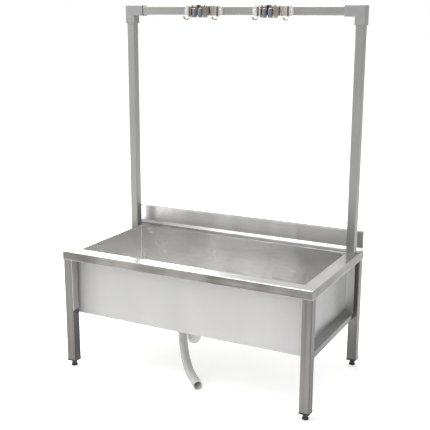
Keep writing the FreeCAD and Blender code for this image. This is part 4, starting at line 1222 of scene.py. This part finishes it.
@dataclass
class ToolHolder:
    """One plate with two hooks and a sprung gripper."""

    number: int
    screw: Screw = field(default_factory=Screw)
    screw_reach: float = 80.0
    roller: float = 10.0
    roller_half: float = 16.0
    bore: float = 3.05
    grooves: int = 6
    groove_depth: float = 0.7
    coil: float = 4.0
    wire: float = 0.6
    coil_half: float = 11.0
    turns: int = 13
    rivet: float = 4.4
    rivet_rise: float = 1.3

    def build(self) -> None:
        """Dress the sheet metal and build the screws, rollers, rivets and spring."""
        number = self.number
        dress(HOLDER_STEEL, [f"holder_plate_{number}"])
        dress(HOOK_STEEL, [f"hooks_{number}"])
        dress(GRIPPER_STEEL, [f"gripper_saddle_{number}"])
        dress(ZINC, [f"gripper_pins_{number}"])
        self.screws()
        self.spring()
        for side in ("left", "right"):
            dress(GRIPPER_STEEL, [f"gripper_arm_{number}_{side}"])
            self.turned_roller(f"gripper_roller_{number}_{side}")
            self.rivets(side)

    def screws(self) -> None:
        """Build the two screws that hold the plate."""
        name = f"holder_screws_{self.number}"
        centre = middle(name)
        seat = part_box(name)[0].y + self.screw.rise * MM
        draft = Draft()
        for sign in (-1, 1):
            spot = Vector((centre.x + sign * self.screw_reach * MM, seat, centre.z))
            self.screw.add(draft, spot, Vector((0.0, -1.0, 0.0)))
        draft.piece(f"{name}_cross", ZINC, "sink", [name], 40.0)

    def turned_roller(self, node: str) -> None:
        """Build one grooved rubber roller.

        Args:
            node: The CAD node and body of the roller.
        """
        half = self.roller_half
        pitch = 2 * (half - 3.0) / self.grooves
        profile = [(self.bore, -half), (self.roller - 1.6, -half), (self.roller - 0.5, -half + 0.5)]
        profile.append((self.roller, -half + 1.6))
        for index in range(self.grooves):
            start = -half + 3.0 + pitch * index
            for share, sunk in ((0.15, 0.0), (0.28, 0.8), (0.5, 1.0), (0.72, 0.8), (0.85, 0.0)):
                profile.append((self.roller - self.groove_depth * sunk, start + pitch * share))
        profile += [(self.roller, half - 1.6), (self.roller - 0.5, half - 0.5)]
        profile += [(self.roller - 1.6, half), (self.bore, half), (self.bore, -half)]
        draft = Draft()
        draft.lathe(profile, Matrix.Translation(middle(node)), 40)
        draft.piece(f"{node}_grooved", ROLLER_RUBBER, node, [node])

    def rivets(self, side: str) -> None:
        """Build the peened ends of a roller's spindle, on its arm.

        Args:
            side: The arm's side.
        """
        arm = f"gripper_arm_{self.number}_{side}"
        axis = middle(f"gripper_roller_{self.number}_{side}")
        reach = (self.roller_half + 2.4) * MM
        draft = Draft()
        for sign in (-1, 1):
            rise = self.quarter()[1:]
            dome = [(self.rivet * math.cos(turn), self.rivet_rise * math.sin(turn)) for turn in rise]
            profile = [(0.0, 0.0), (self.rivet, 0.0), *dome]
            seat = Vector((axis.x, axis.y, axis.z + sign * reach))
            draft.lathe(profile, towards(seat, Vector((0.0, 0.0, sign))), 24)
        draft.piece(f"{arm}_rivets", ZINC, arm, (), 50.0)

    @staticmethod
    def quarter() -> list[float]:
        """The angles of a quarter turn, in six steps."""
        return [math.pi / 2 * step / 6 for step in range(7)]

    def spring(self) -> None:
        """Build the tension spring: a close coil with a straight wire to each arm."""
        name = f"gripper_spring_{self.number}"
        centre = middle(name)
        reach = (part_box(name)[1].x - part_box(name)[0].x) / 2
        coil = self.coil - self.wire
        tail = (self.coil_half + 3.0) * MM
        path = [centre + Vector((-reach, 0.0, 0.0)), centre + Vector((-tail, 0.0, 0.0))]
        steps = self.turns * 18
        for index in range(steps + 1):
            share = index / steps
            grow = min(1.0, 8 * share, 8 * (1 - share))
            angle = FULL_TURN * self.turns * share
            across = Vector((0.0, math.cos(angle), math.sin(angle))) * (coil * grow * MM)
            along = Vector((self.coil_half * (2 * share - 1) * MM, 0.0, 0.0))
            path.append(centre + along + across)
        path += [centre + Vector((tail, 0.0, 0.0)), centre + Vector((reach, 0.0, 0.0))]
        draft = Draft()
        draft.tube(path, [self.wire * MM] * len(path), 8, True)
        draft.piece(f"{name}_coil", SPRING_BLACK, "sink", [name], 60.0)


@dataclass
class Waste:
    """Strainer, tail, trap and the corrugated drain hose."""

    route: tuple[tuple[float, float, float], ...] = (
        (-0.1194, -0.0576, 0.1502),
        (-0.1019, -0.0826, 0.1066),
        (-0.0771, -0.1132, 0.0707),
        (-0.0463, -0.1477, 0.0444),
        (-0.0110, -0.1845, 0.0290),
        (0.0266, -0.2181, 0.0253),
        (0.0610, -0.2550, 0.0220),
    )
    hose_length: float = 0.313
    hose: float = 19.0
    hose_wall: float = 1.6
    corrugation: float = 7.5
    corrugation_depth: float = 2.4
    cup: float = 29.0
    cup_wall: float = 3.0
    cup_straight: float = 39.0
    collar: float = 22.0
    collar_height: float = 20.0

    def build(self) -> None:
        """Dress the waste's metal and mouldings and build its cup, ring, collar and hose."""
        dress(STRAINER_STEEL, ["strainer"])
        dress(ZINC, ["drain_tail", "drain_lock_nut"])
        dress(GASKET_RUBBER, ["drain_gasket"])
        dress(TRAP_PLASTIC, ["trap_body", "trap_elbow"])
        self.corrugated_hose()
        self.trap_cup()
        self.union_ring()
        self.hose_collar()

    def centreline(self) -> list[Vector]:
        """The hose's smooth line through its route.

        Returns:
            Points along the line, close together.
        """
        curve = bpy.data.curves.new("hose_line", "CURVE")
        curve.dimensions = "3D"
        curve.resolution_u = 90
        spline = curve.splines.new("NURBS")
        spline.points.add(len(self.route) - 1)
        for point, spot in zip(spline.points, self.route):
            point.co = (*spot, 1.0)
        spline.order_u = 3
        spline.use_endpoint_u = True
        guide = bpy.data.objects.new("hose_line", curve)
        bpy.context.scene.collection.objects.link(guide)
        bpy.context.view_layer.update()
        mesh = bpy.data.meshes.new_from_object(guide)
        path = [vertex.co.copy() for vertex in mesh.vertices]
        bpy.data.meshes.remove(mesh)
        bpy.data.objects.remove(guide)
        bpy.data.curves.remove(curve)
        return path

    def corrugated_hose(self) -> None:
        """Build the drain hose with its rings and its open end, and a lighter inner wall of painted light.
        """
        path = self.centreline()
        travelled = [0.0]
        for before, after in zip(path, path[1:]):
            travelled.append(travelled[-1] + (after - before).length)
        pitch = self.corrugation * MM
        radii = []
        for distance in travelled:
            wave = 0.5 + 0.5 * math.cos(FULL_TURN * distance / pitch)
            sunk = 1 - wave**0.6
            cuff = min(distance, travelled[-1] - distance) / (1.5 * pitch)
            radii.append((self.hose - self.corrugation_depth * sunk * min(1.0, cuff)) * MM)
        inner = [radius - self.hose_wall * MM for radius in radii]
        draft = Draft()
        around = 40
        draft.tube(path, radii, around, False)
        made = draft.piece(
            "drain_hose_corrugated", HOSE_PLASTIC, "sink", ["drain_hose"], 70.0
        )
        # Painted light: the inner wall is a lighter copy of the hose moulding, standing in for light through
        # the thin wall.
        draft = Draft()
        first = path[0] + LINING_LIP * (path[0] - path[1])
        last = path[-1] + LINING_LIP * (path[-1] - path[-2])
        draft.tube([first, *path, last], [radii[0], *inner, radii[-1]], around, False)
        painted_light_inside = draft.piece("drain_hose_inside_painted_light", HOSE_INSIDE_PAINTED_LIGHT, "sink", (), 70.0)
        LOG.info("hose line %.1f mm", travelled[-1] / MM)

    def trap_cup(self) -> None:
        """Build the trap's cup, fluted round its upper half."""
        outer, inner, straight = self.cup, self.cup - self.cup_wall, self.cup_straight
        quarter = [math.pi / 2 * step / 12 for step in range(13)]
        profile = [
            (inner * math.cos(turn), -straight - inner * math.sin(turn)) for turn in reversed(quarter)
        ]
        profile += [(inner, 0.0), (outer - 0.4, 0.0), (outer, -0.6), (outer, -4.0), (outer, -5.0)]
        profile += [(outer, -6.0 - 2.0 * step) for step in range(12)]
        profile += [(outer, -30.0), (outer - 0.5, -30.6), (outer - 0.5, -31.6), (outer - 0.1, -32.2)]
        profile += [
            ((outer - 0.1) * math.cos(turn), -straight - (outer - 0.1) * math.sin(turn)) for turn in quarter
        ]
        low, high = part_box("trap_cup")
        centre = middle("trap_cup")
        place = Matrix.Translation(Vector((centre.x, centre.y, high.z)))
        draft = Draft()
        draft.lathe(profile, place, 96, fluted(24, 1.1, -29.0, -5.0))
        draft.piece("trap_cup_fluted", TRAP_PLASTIC, "sink", ["trap_cup"])

    def union_ring(self) -> None:
        """Build the grip ring that holds the cup to the trap's body."""
        outer = self.cup + 3.2
        profile = [
            (self.cup - 0.2, -7.0),
            (outer - 1.2, -7.0),
            *((outer, height) for height in (-6.0, -4.0, 0.0, 4.0, 8.0)),
            (outer - 1.0, 9.0),
            (self.cup - 0.2, 9.0),
            (self.cup - 0.2, -7.0),
        ]
        centre = middle("trap_cup")
        place = Matrix.Translation(Vector((centre.x, centre.y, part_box("trap_cup")[1].z)))
        draft = Draft()
        draft.lathe(profile, place, 112, fluted(28, 1.3, -6.5, 8.5))
        draft.piece("trap_union_ring", TRAP_PLASTIC, "sink")

    def hose_collar(self) -> None:
        """Build the collar that holds the hose to the outlet elbow."""
        start, following = (Vector(spot) for spot in self.route[:2])
        outer, high = self.collar, self.collar_height
        profile = [
            (16.0, 0.0),
            (outer - 0.8, 0.0),
            *((outer, height) for height in (0.8, 3.5, 5.0, 7.5, 10.0, 12.5, 15.0, 16.5)),
            (outer, high - 2.0),
            (outer - 2.0, high),
            (16.0, high),
            (16.0, 0.0),
        ]
        draft = Draft()
        draft.lathe(profile, towards(start, start - following), 96, fluted(16, 1.3, 4.0, 16.0))
        draft.piece("hose_collar_fluted", TRAP_PLASTIC, "sink", ["hose_collar"])


@dataclass
class Lamp:
    """A soft rectangular lamp that cameras don't see."""

    name: str
    spot: tuple[float, float, float]
    aim: tuple[float, float, float]
    width: float
    height: float
    power: float
    colour: Colour = (1.0, 1.0, 1.0)

    def hang(self) -> None:
        """Put the lamp in the scene."""
        data = bpy.data.lights.new(self.name, "AREA")
        data.shape = "RECTANGLE"
        data.size, data.size_y = self.width, self.height
        data.energy = self.power
        data.color = self.colour
        lamp = bpy.data.objects.new(self.name, data)
        bpy.context.scene.collection.objects.link(lamp)
        lamp.location = self.spot
        way = Vector(self.aim) - Vector(self.spot)
        lamp.rotation_mode = "QUATERNION"
        lamp.rotation_quaternion = way.to_track_quat("-Z", "Y")
        lamp.visible_camera = False


@dataclass
class Studio:
    """Pale floor, soft light and the camera."""

    lens: float = 68.70
    camera_spot: tuple[float, float, float] = (1.500, -2.916, 1.465)
    azimuth: float = 27.15
    elevation: float = 13.76
    roll: float = -0.19
    floor_radius: float = 60.0
    lamps: tuple[Lamp, ...] = (
        Lamp("overhead_softbox", (-0.5, -0.3, 3.3), (-0.1, 0.0, 0.3), 2.2, 1.8, 108.0),
        Lamp("left_softbox", (-3.4, -1.8, 2.2), (0.0, 0.0, 0.7), 1.6, 2.4, 40.0),
        Lamp("rear_softbox", (-4.0, 4.4, 2.8), (0.0, 0.0, 0.5), 3.0, 1.6, 60.0),
    )

    def build(self) -> None:
        """Set up the floor, the light and the camera."""
        scene = bpy.context.scene
        scene.view_settings.view_transform = "Standard"
        scene.view_settings.look = "None"
        self.floor()
        self.world()
        for lamp in self.lamps:
            lamp.hang()
        self.camera()

    def floor(self) -> None:
        """A wide pale floor."""
        around = 96
        points = [(0.0, 0.0, 0.0)]
        faces = []
        for radius in (2.0, 8.0, self.floor_radius):
            for index in range(around):
                angle = FULL_TURN * index / around
                points.append((radius * math.cos(angle), radius * math.sin(angle), 0.0))
        for index in range(around):
            beside = (index + 1) % around
            faces.append((0, 1 + index, 1 + beside))
            for ring in range(2):
                low, high = 1 + ring * around, 1 + (ring + 1) * around
                faces.append((low + index, high + index, high + beside, low + beside))
        mesh = bpy.data.meshes.new("studio_floor")
        mesh.from_pydata(points, [], faces)
        material = bpy.data.materials.new("studio_floor_paint")
        material.use_nodes = True
        graph = Graph(material.node_tree)
        graph.surface(
            {
                "Base Color": (0.88, 0.88, 0.875, 1.0),
                "Roughness": 0.9,
                "Emission Color": (1.0, 1.0, 1.0, 1.0),
                "Emission Strength": 0.32,
            }
        )
        mesh.materials.append(material)
        floor = bpy.data.objects.new("studio_floor", mesh)
        bpy.context.scene.collection.objects.link(floor)

    def world(self) -> None:
        """A white studio that is brighter overhead than at eye level, and plain white to a camera."""
        world = bpy.data.worlds.new("studio_light")
        world.use_nodes = True
        bpy.context.scene.world = world
        graph = Graph(world.node_tree)
        way = graph.node("ShaderNodeTexCoord", {}, {}).outputs["Generated"]
        height = graph.parts(way)[2].ramp(-0.1, 0.9)
        stops = {"stops": [(0.0, (0.62, 0.62, 0.63)), (0.3, (0.80, 0.80, 0.80)), (1.0, (1.0, 1.0, 1.0))]}
        sky = graph.node("ShaderNodeValToRGB", stops, {0: height})
        seen = graph.node("ShaderNodeLightPath", {}, {}).outputs["Is Camera Ray"]
        colour = graph.tint(Value(graph, seen), sky.outputs[0], (1.0, 1.0, 1.0))
        light = graph.node("ShaderNodeBackground", {}, {"Color": colour, "Strength": 1.0})
        graph.node("ShaderNodeOutputWorld", {}, {"Surface": light.outputs[0]})

    def camera(self) -> None:
        """The camera, which looks down at the sink from its right front."""
        data = bpy.data.cameras.new("camera")
        data.lens = self.lens
        data.sensor_width = 36.0
        data.clip_end = 200.0
        camera = bpy.data.objects.new("camera", data)
        bpy.context.scene.collection.objects.link(camera)
        turn, tilt = math.radians(self.azimuth), math.radians(self.elevation)
        way = Vector((-math.sin(turn) * math.cos(tilt), math.cos(turn) * math.cos(tilt), -math.sin(tilt)))
        camera.location = self.camera_spot
        camera.rotation_mode = "QUATERNION"
        rolled = Matrix.Rotation(math.radians(self.roll), 3, way)
        camera.rotation_quaternion = rolled.to_quaternion() @ way.to_track_quat("-Z", "Y")
        bpy.context.scene.camera = camera


def main() -> None:
    """Build the scene, part by part."""
    logging.basicConfig(level=logging.INFO, format="%(name)s: %(message)s")
    for part in (Studio(), Waste(), Tank(), Legs(), Arch(), ToolHolder(1), ToolHolder(2)):
        part.build()
        LOG.info("%s is done", type(part).__name__)


if __name__ == "__main__":
    main()
